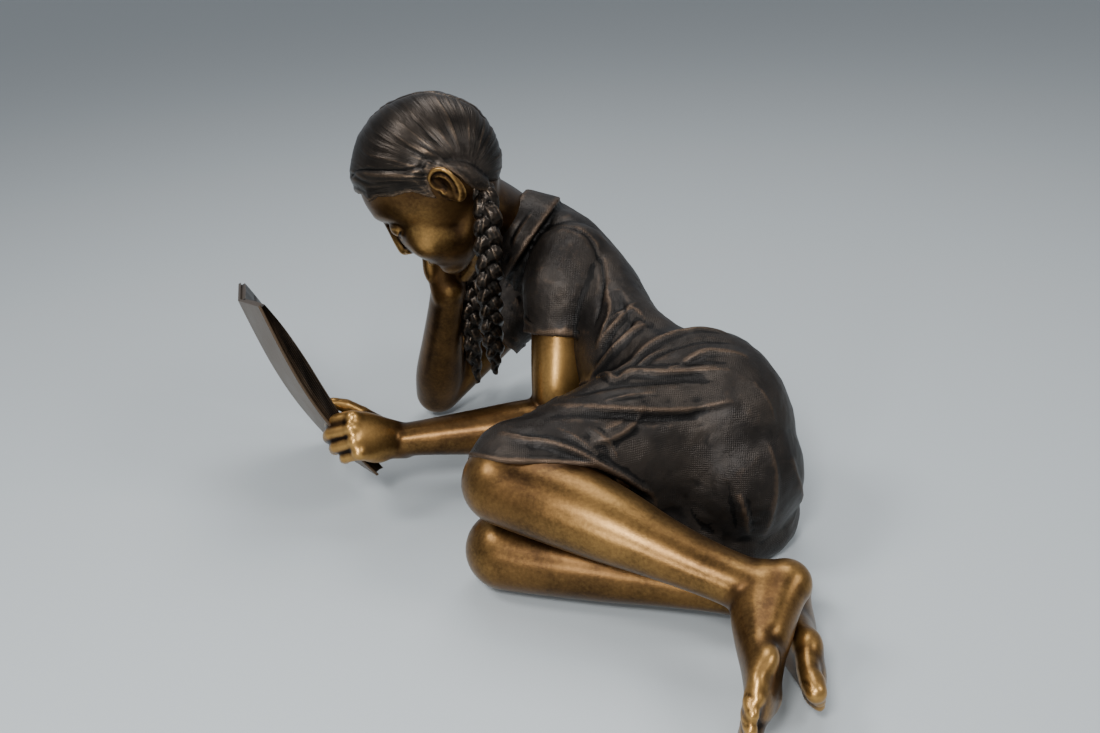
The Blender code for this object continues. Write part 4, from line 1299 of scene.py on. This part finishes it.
class STATUE_OT_hair(bpy.types.Operator):
    """Combed hair and the two plaits"""

    bl_idname = "statue.hair"
    bl_label = "Hair"

    def execute(self, context):
        colours = patina()
        shades = (colours.hair_dark, colours.cloth_middle, colours.hair_bright)
        material = bronze("dark_hair", *shades, 0.85, 0.32, (0.6, 1.0))
        combed = bronze("combed_hair", *shades, 0.85, 0.32, (0.6, 1.0), strand=True)
        hair(sizes().face_step * HAIR_COARSER).finish(combed)
        left = (
            (-7.2, 9.0, 40.5, 0.9),
            (-6.7, 7.4, 37.5, 1.1),
            (-6.9, 7.2, 33.0, 1.1),
            (-7.2, 8.0, 27.0, 1.0),
            (-7.3, 9.8, 20.0, 0.9),
            (-7.4, 11.5, 13.8, 0.6),
        )
        right = (
            (-7.1, 18.0, 40.0, 1.0),
            (-6.5, 20.5, 33.5, 1.0),
            (-8.5, 20.8, 29.0, 1.1),
            (-10.0, 20.0, 23.5, 1.0),
            (-10.8, 19.8, 17.0, 0.9),
            (-10.6, 20.8, 8.0, 0.6),
        )
        plait("plait_left", left, sizes().plait_step).finish(material)
        plait("plait_right", right, sizes().plait_step).finish(material)
        return {"FINISHED"}


class STATUE_OT_dress(bpy.types.Operator):
    """The dress with its folds"""

    bl_idname = "statue.dress"
    bl_label = "Dress"

    def execute(self, context):
        colours = patina()
        shades = (colours.cloth_dark, colours.cloth_middle, colours.cloth_bright)
        material = bronze("dark_cloth", *shades, 0.75, 0.47, (0.68, 1.15), weave=0.0021)
        dress(sizes().cloth_step).finish(material)
        return {"FINISHED"}


class STATUE_OT_book(bpy.types.Operator):
    """The open book"""

    bl_idname = "statue.book"
    bl_label = "Book"

    def execute(self, context):
        colours = patina()
        shades = (colours.cloth_dark, colours.cloth_middle, colours.hair_bright)
        material = bronze("dark_book", *shades, 0.85, 0.4, (0.6, 0.9))
        for name, profile, stations, inset in (
            ("book_cover", cover_profile, 60, 0.0),
            ("book_leaves", leaf_profile, 200, 0.012),
        ):
            forms = bmesh.new()
            book_sweep(forms, profile, stations, inset)
            mesh = bpy.data.meshes.new(name)
            forms.to_mesh(mesh)
            forms.free()
            item = bpy.data.objects.new(name, mesh)
            context.scene.collection.objects.link(item)
            Skin(item).finish(material, "book")
        return {"FINISHED"}


class STATUE_PT_panel(bpy.types.Panel):
    """Sizes, colours and the pieces of the statue"""

    bl_idname = "STATUE_PT_panel"
    bl_label = "Reading Girl"
    bl_space_type = "VIEW_3D"
    bl_region_type = "UI"
    bl_category = "Statue"

    def draw(self, context):
        for group in (context.scene.statue_sizes, context.scene.statue_patina):
            for name in group.__annotations__:
                self.layout.prop(group, name)
        for step in STEPS:
            self.layout.operator(step.bl_idname)


STEPS = (
    STATUE_OT_stage,
    STATUE_OT_book,
    STATUE_OT_legs,
    STATUE_OT_arms,
    STATUE_OT_dress,
    STATUE_OT_head,
    STATUE_OT_hair,
)
CLASSES = (StatuePatina, StatueSizes, *STEPS, STATUE_PT_panel)


def register():
    for item in CLASSES:
        bpy.utils.register_class(item)
    bpy.types.Scene.statue_patina = bpy.props.PointerProperty(type=StatuePatina)
    bpy.types.Scene.statue_sizes = bpy.props.PointerProperty(type=StatueSizes)


def unregister():
    del bpy.types.Scene.statue_sizes
    del bpy.types.Scene.statue_patina
    for item in reversed(CLASSES):
        bpy.utils.unregister_class(item)


def main():
    """Build the whole statue."""
    register()
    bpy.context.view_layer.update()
    bpy.ops.statue.stage()
    bpy.ops.statue.book()
    bpy.ops.statue.legs()
    bpy.ops.statue.arms()
    bpy.ops.statue.dress()
    bpy.ops.statue.head()
    bpy.ops.statue.hair()


if __name__ == "__main__":
    main()
